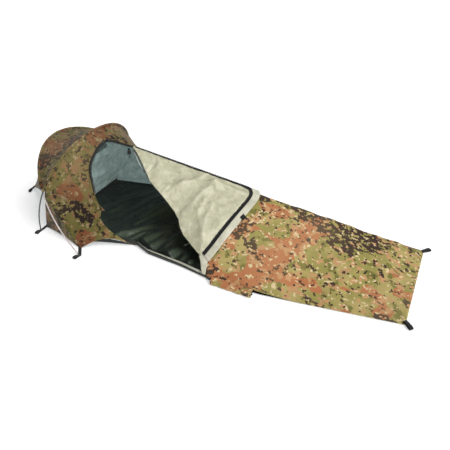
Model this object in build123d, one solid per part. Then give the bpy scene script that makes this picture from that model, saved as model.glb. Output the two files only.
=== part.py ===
from build123d import *
import os
from math import cos, pi, radians, sin

# A one-person hooped bivy sack, pitched, with its entrance unzipped and folded back.
# Millimetres. +X runs from the head to the foot, +Y from the entrance side to the closed side,
# +Z is up. The origin is on the ground, under the middle of the overall box.

# ---- driving dimensions -------------------------------------------------------------------
CLOTH = 2.0                 # thickness of every cloth panel
SEAM = 2.0                  # gap left between two panels that meet at a seam
HEAD_X = -920.0             # head end of the tub floor
FOOT_X = 1355.0             # foot end of the tub floor
HEM_Z = 3.0                 # height of the hems above the ground
WALL_HEIGHT = 42.0          # turned-up wall of the tub floor, below the arched hem at the shoulder
HEAD_WALL_HEIGHT = 16.0     # the wall is low at the head and along the closed side
ZIP_WALL_HEIGHT = 10.0      # the wall is lower below the closed run of the side zip
FOOT_WALL_HEIGHT = 2.5
ZIP_HEM_Z = 30.0            # the cover's hem above the side zip
FOOT_HEM_Z = 9.0
WALL_LEAN = 4.0             # how far the wall's top leans outwards

HEAD_HALF_WIDTH = 355.0
SHOULDER_HALF_WIDTH = 425.0
HIP_HALF_WIDTH = 452.0
FOOT_HALF_WIDTH = 350.0
SKIRT = 12.0                # the cover's hem stands this far outside the floor

APEX = Vector(-470, 10, 490)            # where the zip starts, on top of the hood
RIDGE_FOOT = Vector(FOOT_X, 338, 20)    # the tight ridge runs from the apex to the far foot corner
ZIP_CORNER = Vector(-265, -352, HEM_Z)  # where the hood meets the floor, in front of the shoulder
FOLD_FOOT = Vector(205, -372, 66)       # lower end of the flap's fold line
SIDE_ZIP_START = Vector(308, -467, 20)  # where the closed run of the side zip starts
SIDE_ZIP_END = Vector(572, -479, 20)

SHOULDER_CORNER = Vector(-565, -520, HEM_Z)
HEAD_CORNER = Vector(-927, -414, HEM_Z)
AWNING_PEG = Vector(-1392, -8, 50)

POLE_RADIUS = 4.25
POLE_WALL = 0.8
SHOCK_CORD_RADIUS = 1.5
FERRULE_RADIUS = 5.1
FERRULE_LENGTH_ANGLE = 5.0   # a ferrule's length as an angle of the hoop
FERRULE_CLEARANCE = 0.1
SLEEVE_RADIUS = 9.5
SLEEVE_WALL = 1.5
SLEEVE_START_ANGLE = 5.0     # the sleeve starts this far past the crossing
PANEL_INSET = 12.0           # the panels hang this far inside the hoops
MEET_INSET = 30.0            # and this far inside where the hoops cross

TAPE_WIDTH = 20.0
TAPE_THICKNESS = 1.2
STORM_STRIP_WIDTH = 48.0
FLAP_LIFT = 9.0              # the folded flap lies this far above the cover
COVER_BOW = 0.22             # how far the entrance side bows up between its ridge and its hem
FAR_BOW = 0.10               # the closed side is tighter
FOLD_MARGIN = 0.03           # bare strip beside the fold line, as a share of the cover's width

WEBBING_WIDTH = 20.0
WEBBING_THICKNESS = 2.0
LOOP_WIDTH = 22.0
LOOP_SLOT = 12.0
EYELET_RADIUS = 8.0
EYELET_RIM = 3.0
EYELET_THICKNESS = 3.0

# A hoop is a bow in a leaning plane: half span and rise in that plane, bulge of its legs,
# lean towards the foot in degrees, x of its feet, and the angle where it meets the other hoop.
FRONT_HOOP = {"span": 460, "rise": 582, "bulge": 165, "lean": 16.5, "x": -933, "meet": 30.6}
REAR_HOOP = {"span": 578, "rise": 745, "bulge": -30, "lean": -49.0, "x": -522, "meet": 35.5}

COVER_SCALE = 600.0          # length of the cover from ridge to hem, for outlines drawn on it
ACROSS = 5                   # points across a panel
ALONG = 13                   # points along a panel

os.makedirs("parts", exist_ok=True)


# ---- tools --------------------------------------------------------------------------------
def save(name, *pieces):
    """Write one node, which may be a group of separate solids."""
    solids = [solid for piece in pieces for solid in piece.solids()]
    export_step(solids[0] if len(solids) == 1 else Compound(children=solids), f"parts/{name}.step")


def mirror_y(point):
    return Vector(point.X, -point.Y, point.Z)


def between(a, b, share):
    return a + (b - a) * share


def spread(curve, count=ALONG, start=0.0, end=1.0):
    """Points at equal steps along a curve."""
    return [curve @ (start + (end - start) * i / (count - 1)) for i in range(count)]


def key(point):
    return (round(point.X, 3), round(point.Y, 3), round(point.Z, 3))


def cloth(rows, thickness=CLOTH):
    """A closed faceted sheet: one side through the points of the rows, the other side offset."""
    triangles = []
    for upper, lower in zip(rows, rows[1:]):
        for a, b, c, d in zip(upper, upper[1:], lower, lower[1:]):
            for corners in ((a, b, d), (a, d, c)):
                if len({key(p) for p in corners}) == 3:
                    triangles.append(corners)
    normals = {}
    for a, b, c in triangles:
        area = (b - a).cross(c - a)
        for p in (a, b, c):
            normals[key(p)] = normals.get(key(p), Vector(0, 0, 0)) + area

    def back(p):
        return p - normals[key(p)].normalized() * thickness

    faces = []
    edges = {}
    for a, b, c in triangles:
        faces.append(triangle(a, b, c))
        faces.append(triangle(back(c), back(b), back(a)))
        for p, q in ((a, b), (b, c), (c, a)):
            edges[key(p), key(q)] = (p, q)
    for (start, end), (p, q) in edges.items():
        if (end, start) not in edges:
            faces.append(triangle(q, p, back(p)))
            faces.append(triangle(q, back(p), back(q)))
    return Solid(Shell(faces))


def triangle(a, b, c):
    return Face(Wire.make_polygon([a, b, c], close=True))


def panel(first, second, sag=0.0, hem_rise=0.0, gap=SEAM):
    """Rows of points from one edge curve to the other, with a gap left for the seams.
    sag lowers the middle, and hem_rise lifts the middle of the last row into an arch."""
    rows = []
    for i, (p, q) in enumerate(zip(first, second)):
        length = max((q - p).length, 4 * gap)
        row = []
        for j in range(ACROSS):
            share = gap / length + (1 - 2 * gap / length) * j / (ACROSS - 1)
            belly = sin(pi * share)
            down = sag * sin(pi * i / (len(first) - 1)) * belly
            last = max(0.0, (i - len(first) + 3) / 2.0)
            row.append(between(p, q, share) + Vector(0, 0, hem_rise * last * belly - down))
        rows.append(row)
    return rows


def ribbon(points, side, width, start=SEAM, thickness=TAPE_THICKNESS):
    """A narrow strip that runs beside a line of points, on the side given at each point."""
    inner = [p + s * start for p, s in zip(points, side)]
    outer = [p + s * (start + width) for p, s in zip(points, side)]
    return cloth([inner, outer], thickness)


def hoop_point(hoop, angle, inset=0.0):
    """A point of a hoop: angle 0 is the foot on the entrance side, 180 the far foot."""
    turn = radians(angle)
    across = -(hoop["span"] - inset) * cos(turn) - hoop["bulge"] / 2 * sin(2 * turn)
    up = (hoop["rise"] - inset) * sin(turn)
    lean = radians(hoop["lean"])
    return Vector(hoop["x"] + up * sin(lean), across, up * cos(lean))


def hoop_path(hoop, start, end, step=9.0):
    """A chain of tangent arcs along a hoop."""
    count = max(2, round((end - start) / step))
    points = [hoop_point(hoop, start + (end - start) * i / count) for i in range(count + 1)]
    tangent = hoop_point(hoop, start + 0.1) - hoop_point(hoop, start - 0.1)
    arcs = []
    for p, q in zip(points, points[1:]):
        arcs.append(TangentArc(p, q, tangent=tangent))
        tangent = arcs[-1] % 1
    return Wire(arcs)


def tube(path, outer, inner=0.0):
    """A round tube along a path, solid when no inner radius is given."""
    at_start = Plane(origin=path @ 0, z_dir=path % 0)
    ring = Circle(outer) - Circle(inner) if inner else Circle(outer)
    return sweep(at_start * ring, path=path)


# ---- outlines that the panels share -------------------------------------------------------
def follow(stations, x):
    """The value at x of a line drawn through (x, value) stations."""
    for (x0, v0), (x1, v1) in zip(stations, stations[1:]):
        if x <= x1:
            return v0 + (v1 - v0) * max(0.0, x - x0) / (x1 - x0)
    return stations[-1][1]


def wall_height(x, near):
    """Height of the floor's wall. It is pressed down along the open entrance."""
    if near:
        stations = [
            (HEAD_X, HEAD_WALL_HEIGHT),
            (SHOULDER_CORNER.X, WALL_HEIGHT),
            (ZIP_CORNER.X, 34.0),
            (50, 26.0),
            (SIDE_ZIP_START.X - 14, 16.0),
            (SIDE_ZIP_START.X, ZIP_WALL_HEIGHT),
            (SIDE_ZIP_END.X, ZIP_WALL_HEIGHT),
            (760, FOOT_WALL_HEIGHT),
        ]
    else:
        stations = [(SIDE_ZIP_START.X, HEAD_WALL_HEIGHT), (FOOT_X, FOOT_WALL_HEIGHT)]
    return follow(stations, x)


def near_hem_height(x):
    return follow([(SIDE_ZIP_END.X, ZIP_HEM_Z), (780, FOOT_HEM_Z), (FOOT_X, FOOT_HEM_Z)], x)


def half_width(x, near):
    """Half the floor's width. The entrance side is drawn in where the zip is open."""
    stations = [
        (HEAD_X, HEAD_HALF_WIDTH),
        (SHOULDER_CORNER.X, SHOULDER_HALF_WIDTH),
        (ZIP_CORNER.X, -ZIP_CORNER.Y - SKIRT if near else SHOULDER_HALF_WIDTH + 12),
        (-155, 388.0 if near else SHOULDER_HALF_WIDTH + 16),
        (95, 414.0 if near else HIP_HALF_WIDTH),
        (SIDE_ZIP_START.X, HIP_HALF_WIDTH),
        (600, HIP_HALF_WIDTH - 4),
        (FOOT_X, FOOT_HALF_WIDTH),
    ]
    return follow(stations, x)


def ridge(x):
    """The tight ridge line from the apex to the far foot corner."""
    return between(APEX, RIDGE_FOOT, (x - APEX.X) / (RIDGE_FOOT.X - APEX.X))


def far_edge(x):
    return Vector(x, half_width(x, near=False) + SKIRT, HEM_Z)


def near_edge(x):
    return Vector(x, -half_width(x, near=True) - SKIRT, near_hem_height(x))


def far_section(x, count=6):
    """From the hem on the closed side up to the ridge."""
    top = ridge(x)
    points = []
    for i in range(count):
        share = i / (count - 1)
        bow = FAR_BOW * (top.Z - HEM_Z) * sin(pi * share)
        points.append(between(far_edge(x), top, share) + Vector(0, 0, bow))
    return points


def on_cover(x, share, lift=0.0):
    """A point on the entrance side of the cover: share 0 is the ridge and 1 the hem."""
    top = ridge(x)
    bow = COVER_BOW * (top.Z - FOOT_HEM_Z) * sin(pi * share)
    return between(top, near_edge(x), share) + Vector(0, 0, bow) + FLAP_NORMAL * lift


def near_section(x, start=0.0, end=1.0, count=6):
    return [on_cover(x, start + (end - start) * i / count) for i in range(1, count + 1)]


def fold_share(x):
    """Where the fold line crosses the cover."""
    fold = between(APEX, FOLD_FOOT, (x - APEX.X) / (FOLD_FOOT.X - APEX.X))
    return (ridge(x).Y - fold.Y) / (ridge(x).Y - near_edge(x).Y)


FRONT_NEAR_MEET = hoop_point(FRONT_HOOP, FRONT_HOOP["meet"], MEET_INSET)
FOLD_AXIS = (FOLD_FOOT - APEX).normalized()
FLAP_NORMAL = FOLD_AXIS.cross(ridge(200) - APEX).normalized()


def front_seam(count, far):
    """Under the front hoop from its crown to the crossing, then down to the shoulder corner."""
    crown = [hoop_point(FRONT_HOOP, a, PANEL_INSET) for a in (90, 78, 66, 54, 42)]
    line = Polyline(*crown, FRONT_NEAR_MEET, SHOULDER_CORNER)
    points = spread(line, count)
    return [mirror_y(p) for p in points] if far else points


# The free edge of the hood on the entrance side, from the crown seam down to the zip corner.
HOOD_EDGE = [
    Vector(-675, -5, 506),
    Vector(-672, -62, 505),
    Vector(-670, -125, 482),
    Vector(-664, -190, 438),
    Vector(-655, -226, 398),
    Vector(-622, -262, 345),
    Vector(-574, -308, 290),
    Vector(-544, -334, 235),
    Vector(-518, -330, 188),
    Vector(-496, -372, 150),
    Vector(-425, -388, 98),
    Vector(-330, -372, 38),
    ZIP_CORNER,
]


# ---- tub floor ----------------------------------------------------------------------------
def tub_floor():
    stations = [HEAD_X, -740, SHOULDER_CORNER.X, -400, ZIP_CORNER.X, -155, 95, SIDE_ZIP_START.X - 14]
    stations += [SIDE_ZIP_START.X, SIDE_ZIP_END.X, 760, 1060, FOOT_X]
    rows = [tub_row(HEAD_X - WALL_LEAN, HEAD_X, raised=True)]
    rows += [tub_row(x, x, raised=False) for x in stations]
    rows.append(tub_row(FOOT_X + 0.5, FOOT_X, raised=True))
    return cloth(rows)


def tub_row(x, width_x, raised):
    """One row of the floor's underside: wall top, corner, middle, corner, wall top."""
    near = -half_width(width_x, near=True)
    far = half_width(width_x, near=False)
    near_wall = wall_height(width_x, near=True)
    far_wall = wall_height(width_x, near=False)
    low = far_wall if raised else 0.0
    return [
        Vector(x, near - WALL_LEAN, near_wall),
        Vector(x, near, low),
        Vector(x, near / 3, low),
        Vector(x, far / 3, low),
        Vector(x, far, low),
        Vector(x, far + WALL_LEAN, far_wall),
    ]


# ---- camouflage shell ---------------------------------------------------------------------
def top_cover():
    """From the apex to the foot. Over the entrance it stops at the fold line."""
    rows = []
    for x in (-466, -330, -200, -70, 60, 190):
        stop = max(0.02, fold_share(x) - FOLD_MARGIN)
        rows.append(far_section(x) + near_section(x, end=stop))
    for x in (SIDE_ZIP_START.X + 4, 470, 650, 900, 1130, FOOT_X):
        rows.append(far_section(x) + near_section(x))
    rows.append([Vector(FOOT_X + SKIRT / 2, p.Y, HEM_Z) for p in rows[-1]])
    return cloth(rows)


def hood_side_far():
    """Closed side of the hood, from the front hoop to the cover."""
    first = front_seam(ALONG, far=True)
    edge = Polyline(HOOD_EDGE[0] + Vector(0, SEAM, 0), APEX, *reversed(far_section(-474)))
    return cloth(panel(first, spread(edge), hem_rise=10))


def hood_side_near():
    """Entrance side of the hood, from the front hoop to the free edge."""
    rows = panel(front_seam(ALONG, far=False), HOOD_EDGE, hem_rise=34)
    return cloth([list(reversed(row)) for row in rows])


def hood_roof():
    """Between the two hoops, above the crossings."""
    rear = [hoop_point(REAR_HOOP, a, PANEL_INSET) for a in arch_angles(REAR_HOOP)]
    front = [hoop_point(FRONT_HOOP, a, PANEL_INSET) for a in arch_angles(FRONT_HOOP)]
    return cloth([list(reversed(row)) for row in panel(rear, front, sag=12)])


def arch_angles(hoop, margin=1.5):
    start = hoop["meet"] + margin
    return [start + (180 - 2 * start) * i / (ALONG - 1) for i in range(ALONG)]


def vent_awning():
    """From the rear hoop back to the peg point on the centre line."""
    rear = [hoop_point(REAR_HOOP, a, PANEL_INSET) for a in arch_angles(REAR_HOOP)]
    near_hem = Line(rear[0], AWNING_PEG)
    far_hem = Line(mirror_y(AWNING_PEG), rear[-1])
    hem = spread(near_hem, 7, 0.06, 0.97) + spread(far_hem, 7, 0.03, 0.94)[1:]
    return cloth(panel(rear, hem, sag=-6))


def gusset(far):
    """Triangle between the crossing, the head corner and the shoulder corner."""
    first = spread(Line(FRONT_NEAR_MEET, HEAD_CORNER), 6, 0.04, 1.0)
    second = spread(Line(FRONT_NEAR_MEET, SHOULDER_CORNER), 6, 0.04, 1.0)
    rows = panel(first, second, hem_rise=16)
    rows = [[mirror_y(p) for p in row] for row in rows] if far else rows
    return cloth(rows if far else [list(reversed(row)) for row in rows])


# ---- head wall and its vent ---------------------------------------------------------------
HEAD_WALL_SPAN = 388.0
HEAD_WALL_RISE = 540.0
HEAD_WALL_BULGE = 58.0
HEAD_WALL_FOOT = HEAD_WALL_HEIGHT + CLOTH + 2.5
VENT_HALF_WIDTH = 120.0
VENT_LOW = 400.0
VENT_HIGH = 490.0


def head_wall_plane():
    """The head wall leans with the front hoop, just inside it."""
    lean = radians(FRONT_HOOP["lean"])
    return Plane(origin=(HEAD_X + 8, 0, 0), x_dir=(0, 1, 0), z_dir=(cos(lean), 0, -sin(lean)))


def vent_outline():
    low = Line((-VENT_HALF_WIDTH, VENT_LOW), (VENT_HALF_WIDTH, VENT_LOW))
    top = ThreePointArc((VENT_HALF_WIDTH, VENT_LOW), (0, VENT_HIGH), (-VENT_HALF_WIDTH, VENT_LOW))
    return make_face([low, top])


def head_wall():
    arch = []
    for i in range(1, 12):
        turn = pi * i / 12
        across = -HEAD_WALL_SPAN * cos(turn) - HEAD_WALL_BULGE * sin(2 * turn)
        arch.append(Vector(across, HEAD_WALL_RISE * sin(turn)))
    low = [Vector(HEAD_HALF_WIDTH - 8, HEAD_WALL_FOOT), Vector(8 - HEAD_HALF_WIDTH, HEAD_WALL_FOOT)]
    outline = make_face(Polyline(*arch, *low, close=True))
    return extrude(head_wall_plane() * (outline - vent_outline()), CLOTH)


def vent_mesh():
    return extrude(head_wall_plane() * offset(vent_outline(), -0.3), CLOTH / 2)


# ---- poles --------------------------------------------------------------------------------
FOOT_ANGLE = 1.2            # the poles stop just above the ground, where their tips start
SECTION_COUNT = 4
COLLAR_RADIUS = 4.8
SPIGOT_RADIUS = 2.4


def pole_sections(hoop):
    cuts = [FOOT_ANGLE + (180 - 2 * FOOT_ANGLE) * i / SECTION_COUNT for i in range(SECTION_COUNT + 1)]
    for start, end in zip(cuts, cuts[1:]):
        yield tube(hoop_path(hoop, start, end), POLE_RADIUS, POLE_RADIUS - POLE_WALL)


def ferrules(hoop):
    inner = POLE_RADIUS + FERRULE_CLEARANCE
    for i in range(1, SECTION_COUNT):
        middle = FOOT_ANGLE + (180 - 2 * FOOT_ANGLE) * i / SECTION_COUNT
        half = FERRULE_LENGTH_ANGLE / 2
        yield tube(hoop_path(hoop, middle - half, middle + half), FERRULE_RADIUS, inner)


def pole_tip(hoop, far):
    """A collar against the pole's end with a narrow spigot that stands in the eyelet."""
    along = (hoop_point(hoop, 0.1) - hoop_point(hoop, FOOT_ANGLE)).normalized()
    top = hoop_point(hoop, FOOT_ANGLE) + along * 0.4
    length = (top.Z - SPIGOT_RADIUS) / -along.Z
    collar = [(0, 0), (COLLAR_RADIUS, 0), (COLLAR_RADIUS, 3), (SPIGOT_RADIUS, 3)]
    sides = Polyline(*collar, (SPIGOT_RADIUS, length))
    end = RadiusArc((SPIGOT_RADIUS, length), (0, length + SPIGOT_RADIUS), -SPIGOT_RADIUS)
    profile = Plane.XZ * make_face([sides, end, Line((0, length + SPIGOT_RADIUS), (0, 0))])
    if far:
        top, along = mirror_y(top), mirror_y(along)
    return Plane(origin=top, z_dir=along) * revolve(profile, Axis.Z)


def shock_cord(hoop):
    return tube(hoop_path(hoop, FOOT_ANGLE + 0.3, 180 - FOOT_ANGLE - 0.3), SHOCK_CORD_RADIUS)


def pole_sleeve(hoop):
    start = hoop["meet"] + SLEEVE_START_ANGLE
    return tube(hoop_path(hoop, start, 180 - start), SLEEVE_RADIUS, SLEEVE_RADIUS - SLEEVE_WALL)


# ---- webbing and eyelets ------------------------------------------------------------------
def eyelet_webbing(corner, eye, tip, far):
    """A flat strap from a corner of the shell, through the pole's eyelet, to a peg loop."""
    points = [mirror_y(p) if far else p for p in (corner, eye, tip)]
    corner, eye, tip = [Vector(p.X, p.Y, 0) for p in points]
    inner = bar(corner, eye) + bar(eye, tip)
    strap = inner + Pos(*eye) * extrude(Circle(WEBBING_WIDTH / 2 + 3), WEBBING_THICKNESS)
    slot = Pos(*between(eye, tip, 0.66)) * turned(eye, tip) * SlotOverall(20, LOOP_SLOT)
    hole = Pos(*eye) * Circle(EYELET_RADIUS + EYELET_RIM)
    return strap - extrude(slot, WEBBING_THICKNESS) - extrude(hole, WEBBING_THICKNESS)


def turned(a, b):
    return Rot(0, 0, Vector(1, 0, 0).get_signed_angle(b - a, Vector(0, 0, 1)))


def bar(a, b, width=WEBBING_WIDTH, thickness=WEBBING_THICKNESS):
    middle = between(a, b, 0.5)
    return Pos(*middle) * turned(a, b) * extrude(Rectangle((b - a).length, width), thickness)


def eyelet(eye, far):
    centre = mirror_y(eye) if far else eye
    ring = Circle(EYELET_RADIUS + EYELET_RIM) - Circle(EYELET_RADIUS)
    return Pos(centre.X, centre.Y, 0) * extrude(ring, EYELET_THICKNESS)


def peg_loop(start, end):
    """A strap folded into a flat loop, lying on the ground."""
    outline = SlotOverall((end - start).length, LOOP_WIDTH)
    slot = Pos((end - start).length * 0.12, 0) * SlotOverall((end - start).length * 0.55, LOOP_SLOT)
    return Pos(*between(start, end, 0.5)) * turned(start, end) * extrude(outline - slot, 3)


def awning_loop():
    """The awning's peg loop hangs from its corner down to the ground."""
    top = Vector(-1389, -14, 48)
    low = Vector(-1373, -88, 4)
    along = (low - top).normalized()
    frame = Plane(origin=between(top, low, 0.5), x_dir=along, z_dir=along.cross(Vector(1, 0, 0)))
    length = (low - top).length
    slot = Pos(length * 0.2, 0) * SlotOverall(length * 0.4, LOOP_SLOT)
    return extrude(frame * (SlotOverall(length, LOOP_WIDTH) - slot), 1.25, both=True)


# ---- entrance flap ------------------------------------------------------------------------
# The flap is the near part of the top cover, folded back over its far part along a straight
# line from the apex. Its zipped edge runs along the ridge, round a corner, and back down.
# Its outline is given on the cover: x, and the share of the way from the ridge to the hem.
FLAP_EDGE = [(-440, 0.012), (-250, 0.012), (-60, 0.012), (130, 0.012), (280, 0.014), (304, 0.05)]
FLAP_EDGE += [(310, 0.16), (298, 0.32), (278, 0.48), (258, 0.62), (238, 0.74), (218, 0.82)]
FLAP_START_X = -440
FLAP_END_X = 196


def flap_point(place, lift=FLAP_LIFT):
    return on_cover(place.X, place.Y / COVER_SCALE, lift)


def flap_lines():
    """The flap's fold line and its zipped edge as flat curves, x against scaled share."""
    fold = []
    for i in range(ALONG):
        x = FLAP_START_X + (FLAP_END_X - FLAP_START_X) * i / (ALONG - 1)
        fold.append(Vector(x, COVER_SCALE * max(0.01, fold_share(x) - FOLD_MARGIN)))
    edge = Polyline(*[Vector(x, COVER_SCALE * share) for x, share in FLAP_EDGE])
    return fold, spread(edge)


def edge_ribbon(start, width, first=0, lift=FLAP_LIFT):
    """A strip outside the flap's edge, which lies on the cover as the flap does."""
    edge = flap_lines()[1]
    rows = []
    for offset_ in (start, start + width / 2, start + width):
        row = []
        for i in range(first, ALONG):
            along = edge[min(i + 1, ALONG - 1)] - edge[max(i - 1, 0)]
            out = Vector(along.Y, -along.X).normalized()
            row.append(flap_point(edge[i] + out * offset_, lift))
        rows.append(row)
    return cloth(list(reversed(rows)), TAPE_THICKNESS)


def entrance_flap():
    fold, edge = flap_lines()
    rows = []
    for p, q in zip(fold, edge):
        rows.append([flap_point(between(p, q, j / (ACROSS - 1))) for j in range(ACROSS)])
    return cloth([list(reversed(row)) for row in rows])


# ---- zips ---------------------------------------------------------------------------------
CHAIN_GAP = 1.6              # gap between the two rows of coil
CHAIN_ROW = 2.6
CHAIN_THICKNESS = 2.0
SLIDER_LENGTH = 16.0
SLIDER_PLATE = 1.4
SLIDER_CLEARANCE = 0.5
PULL_LENGTH = 26.0
TOP_PULL_LENGTH = 58.0
PULL_PIN_RADIUS = 1.0
PIN_CLEARANCE = 0.35
PIN_PLACE = 5.0              # the pull's pin along the slider, and its height above the plate
PIN_HEIGHT = 2.6

ZIP_RUN = SIDE_ZIP_END - SIDE_ZIP_START
ZIP_FRAME = Plane(origin=SIDE_ZIP_START, x_dir=ZIP_RUN, z_dir=(ZIP_RUN.Y, -ZIP_RUN.X, 0))


def along_zip(x0, x1, up0, up1, out0, out1):
    """A block in the side zip's frame: along the zip, up the wall, and outwards."""
    box = Box(x1 - x0, up1 - up0, out1 - out0, align=(Align.MIN, Align.MIN, Align.MIN))
    return ZIP_FRAME * Pos(x0, up0, out0) * box


def side_zip_chain():
    half = CHAIN_GAP / 2
    return [
        along_zip(0, ZIP_RUN.length, half, half + CHAIN_ROW, 0, CHAIN_THICKNESS),
        along_zip(0, ZIP_RUN.length, -half - CHAIN_ROW, -half, 0, CHAIN_THICKNESS),
    ]


def side_zip_tapes():
    """The tapes that carry the closed run, one above and one below the coils."""
    inner = CHAIN_GAP / 2 + CHAIN_ROW
    return [
        along_zip(0, ZIP_RUN.length, inner, inner + 10, 0.4, 1.6),
        along_zip(0, ZIP_RUN.length, -inner - 10, -inner, 0.4, 1.6),
    ]


def slider_body(frame):
    """Two plates joined by a post, with a bridge on the outer plate for the pull."""
    half = CHAIN_GAP / 2 + CHAIN_ROW + 1.2
    low = -SLIDER_CLEARANCE - SLIDER_PLATE
    high = CHAIN_THICKNESS + SLIDER_CLEARANCE
    plate = RectangleRounded(SLIDER_LENGTH, 2 * half, 2.5)
    back = Pos(SLIDER_LENGTH / 2, 0, low) * extrude(plate, SLIDER_PLATE)
    front = Pos(SLIDER_LENGTH / 2, 0, high) * extrude(plate, SLIDER_PLATE)
    post = Pos(2, 0, low) * extrude(Rectangle(2.4, CHAIN_GAP - 0.6), high - low + SLIDER_PLATE)
    top = high + SLIDER_PLATE
    ear = Rectangle(4.4, 1.4)
    ears = [Pos(PIN_PLACE, y, top) * extrude(ear, 4.4) for y in (-3.0, 3.0)]
    pin = Pos(PIN_PLACE, 0, top + PIN_HEIGHT) * Rot(90, 0, 0) * Cylinder(PULL_PIN_RADIUS, 7.2)
    body = back + front + post + ears[0] + ears[1] + pin
    return frame * body


def slider_pull(frame, length, turn):
    """A flat tab on a barrel that turns on the slider's pin. Turn 0 lies back along the zip."""
    axis_height = CHAIN_THICKNESS + SLIDER_CLEARANCE + SLIDER_PLATE + PIN_HEIGHT
    bore = PULL_PIN_RADIUS + PIN_CLEARANCE
    outer = bore + 0.9
    barrel = Cylinder(outer, 4.0) - Cylinder(bore, 4.0)
    tab = Pos(-length / 2 - outer + 0.4, 0, -0.8) * extrude(SlotOverall(length, 4.0), 1.6)
    pull = Rot(90, 0, 0) * barrel + tab
    return frame * Pos(PIN_PLACE, 0, axis_height) * Rot(0, turn, 0) * pull


# The top slider is parked at the apex, upside down, with its pull hanging into the entrance.
TOP_SLIDER_FRAME = Plane(origin=APEX + Vector(-34, -20, -12), x_dir=(1, 0, 0), z_dir=(0, 0, -1))


def lower_tape():
    """The bare half of the side zip, on top of the floor's wall from the hood to the zip's start."""
    points = []
    for x in (-255, -155, -50, 95, 200, 290):
        points.append(Vector(x, -half_width(x, near=True) - WALL_LEAN, wall_height(x, near=True)))
    return ribbon(points, [Vector(0, 0.55, 0.835)] * len(points), TAPE_WIDTH)


def hood_tape():
    """Black zip tape along the hood's free edge, from the apex to the lower lap."""
    seam = [APEX + Vector(-16, -4, 0), Vector(-560, 2, 499), HOOD_EDGE[0] + Vector(10, -6, 0)]
    points = seam + HOOD_EDGE[1:6]
    sides = []
    for i in range(len(points)):
        along = points[min(i + 1, len(points) - 1)] - points[max(i - 1, 0)]
        sides.append(Vector(0.55, -0.35, -0.6).cross(along).cross(along).normalized() * -1)
    return ribbon(points, sides, TAPE_WIDTH * 0.7)


def hood_storm_lap():
    """Camouflage lap along the lower half of the hood's free edge, with a pointed corner."""
    points = HOOD_EDGE[5:9]
    outer = [p + Vector(18, 14, -6) for p in points[:-1]] + [points[-1] + Vector(26, 30, -14)]
    return cloth([[p + Vector(3, 2, -1) for p in points], outer])


def side_storm_flap():
    """Camouflage flap that covers the closed run of the side zip."""
    x_values = [SIDE_ZIP_START.X + 12 + (ZIP_RUN.X - 12) * i / 6 for i in range(7)]
    share = [(x - SIDE_ZIP_START.X) / ZIP_RUN.X for x in x_values]
    line = [SIDE_ZIP_START + ZIP_RUN * s for s in share]
    top = [p + Vector(0, 4, 22) for p in line]
    middle = [p + Vector(0, -30, 6) for p in line]
    low = [p + Vector(0, -36, -16) for p in line]
    return cloth([top, middle, low])


# ---- small trim ---------------------------------------------------------------------------
def care_label():
    return Pos(46, -244, CLOTH) * Rot(0, 0, 35) * extrude(RectangleRounded(46, 30, 4), 0.8)


def hook_tab():
    """Black hook-and-loop tab on the storm strip, near the flap's corner."""
    corners = [(339, 0.38), (330, 0.43), (363, 0.41), (354, 0.46)]
    top = [on_cover(x, share, FLAP_LIFT + 3) for x, share in corners]
    return cloth([top[:2], top[2:]], TAPE_THICKNESS)


# ---- build --------------------------------------------------------------------------------
save("tub_floor", tub_floor())
save("top_cover", top_cover())
save("hood_side_far", hood_side_far())
save("hood_side_near", hood_side_near())
save("hood_roof", hood_roof())
save("vent_awning", vent_awning())
save("head_gusset_near", gusset(far=False))
save("head_gusset_far", gusset(far=True))
save("head_wall", head_wall())
save("vent_mesh", vent_mesh())

for hoop_name, hoop in (("front", FRONT_HOOP), ("rear", REAR_HOOP)):
    for number, section in enumerate(pole_sections(hoop), 1):
        save(f"{hoop_name}_pole_{number}", section)
    save(f"{hoop_name}_ferrules", *ferrules(hoop))
    save(f"{hoop_name}_tip_near", pole_tip(hoop, far=False))
    save(f"{hoop_name}_tip_far", pole_tip(hoop, far=True))
    save(f"{hoop_name}_shock_cord", shock_cord(hoop))
    save(f"{hoop_name}_sleeve", pole_sleeve(hoop))

HEAD_EYE = Vector(FRONT_HOOP["x"], -FRONT_HOOP["span"], 0)
SHOULDER_EYE = Vector(REAR_HOOP["x"], -REAR_HOOP["span"], 0)
CORNERS = {
    "head": (HEAD_CORNER, HEAD_EYE, Vector(-926, -512, 0)),
    "shoulder": (SHOULDER_CORNER, SHOULDER_EYE, Vector(-530, -626, 0)),
}
for corner_name, (corner, eye, tip) in CORNERS.items():
    for side_name, far in (("near", False), ("far", True)):
        save(f"{corner_name}_webbing_{side_name}", eyelet_webbing(corner, eye, tip, far))
        save(f"{corner_name}_eyelet_{side_name}", eyelet(eye, far))

save("foot_loop_near", peg_loop(Vector(FOOT_X + 10, -346, 0), Vector(1394, -385, 0)))
save("foot_loop_far", peg_loop(Vector(FOOT_X + 10, 346, 0), Vector(1394, 385, 0)))
save("awning_loop", awning_loop())

save("entrance_flap", entrance_flap())
save("flap_zip_tape", edge_ribbon(SEAM, TAPE_WIDTH))
save("flap_storm_strip", edge_ribbon(TAPE_WIDTH + 2 * SEAM, STORM_STRIP_WIDTH, first=7))
save("flap_hook_tab", hook_tab())

save("side_zip_chain", *side_zip_chain())
save("side_zip_tapes", *side_zip_tapes())
save("side_slider", slider_body(ZIP_FRAME))
save("side_slider_pull", slider_pull(ZIP_FRAME, PULL_LENGTH, 0))
save("top_slider", slider_body(TOP_SLIDER_FRAME))
save("top_slider_pull", slider_pull(TOP_SLIDER_FRAME, TOP_PULL_LENGTH, 90))
save("side_zip_lower_tape", lower_tape())
save("hood_zip_tape", hood_tape())
save("hood_storm_lap", hood_storm_lap())
save("side_storm_flap", side_storm_flap())
save("care_label", care_label())
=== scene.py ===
from math import cos, pi, radians, sin, sqrt

import bpy
import numpy as np
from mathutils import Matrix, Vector, noise


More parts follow.
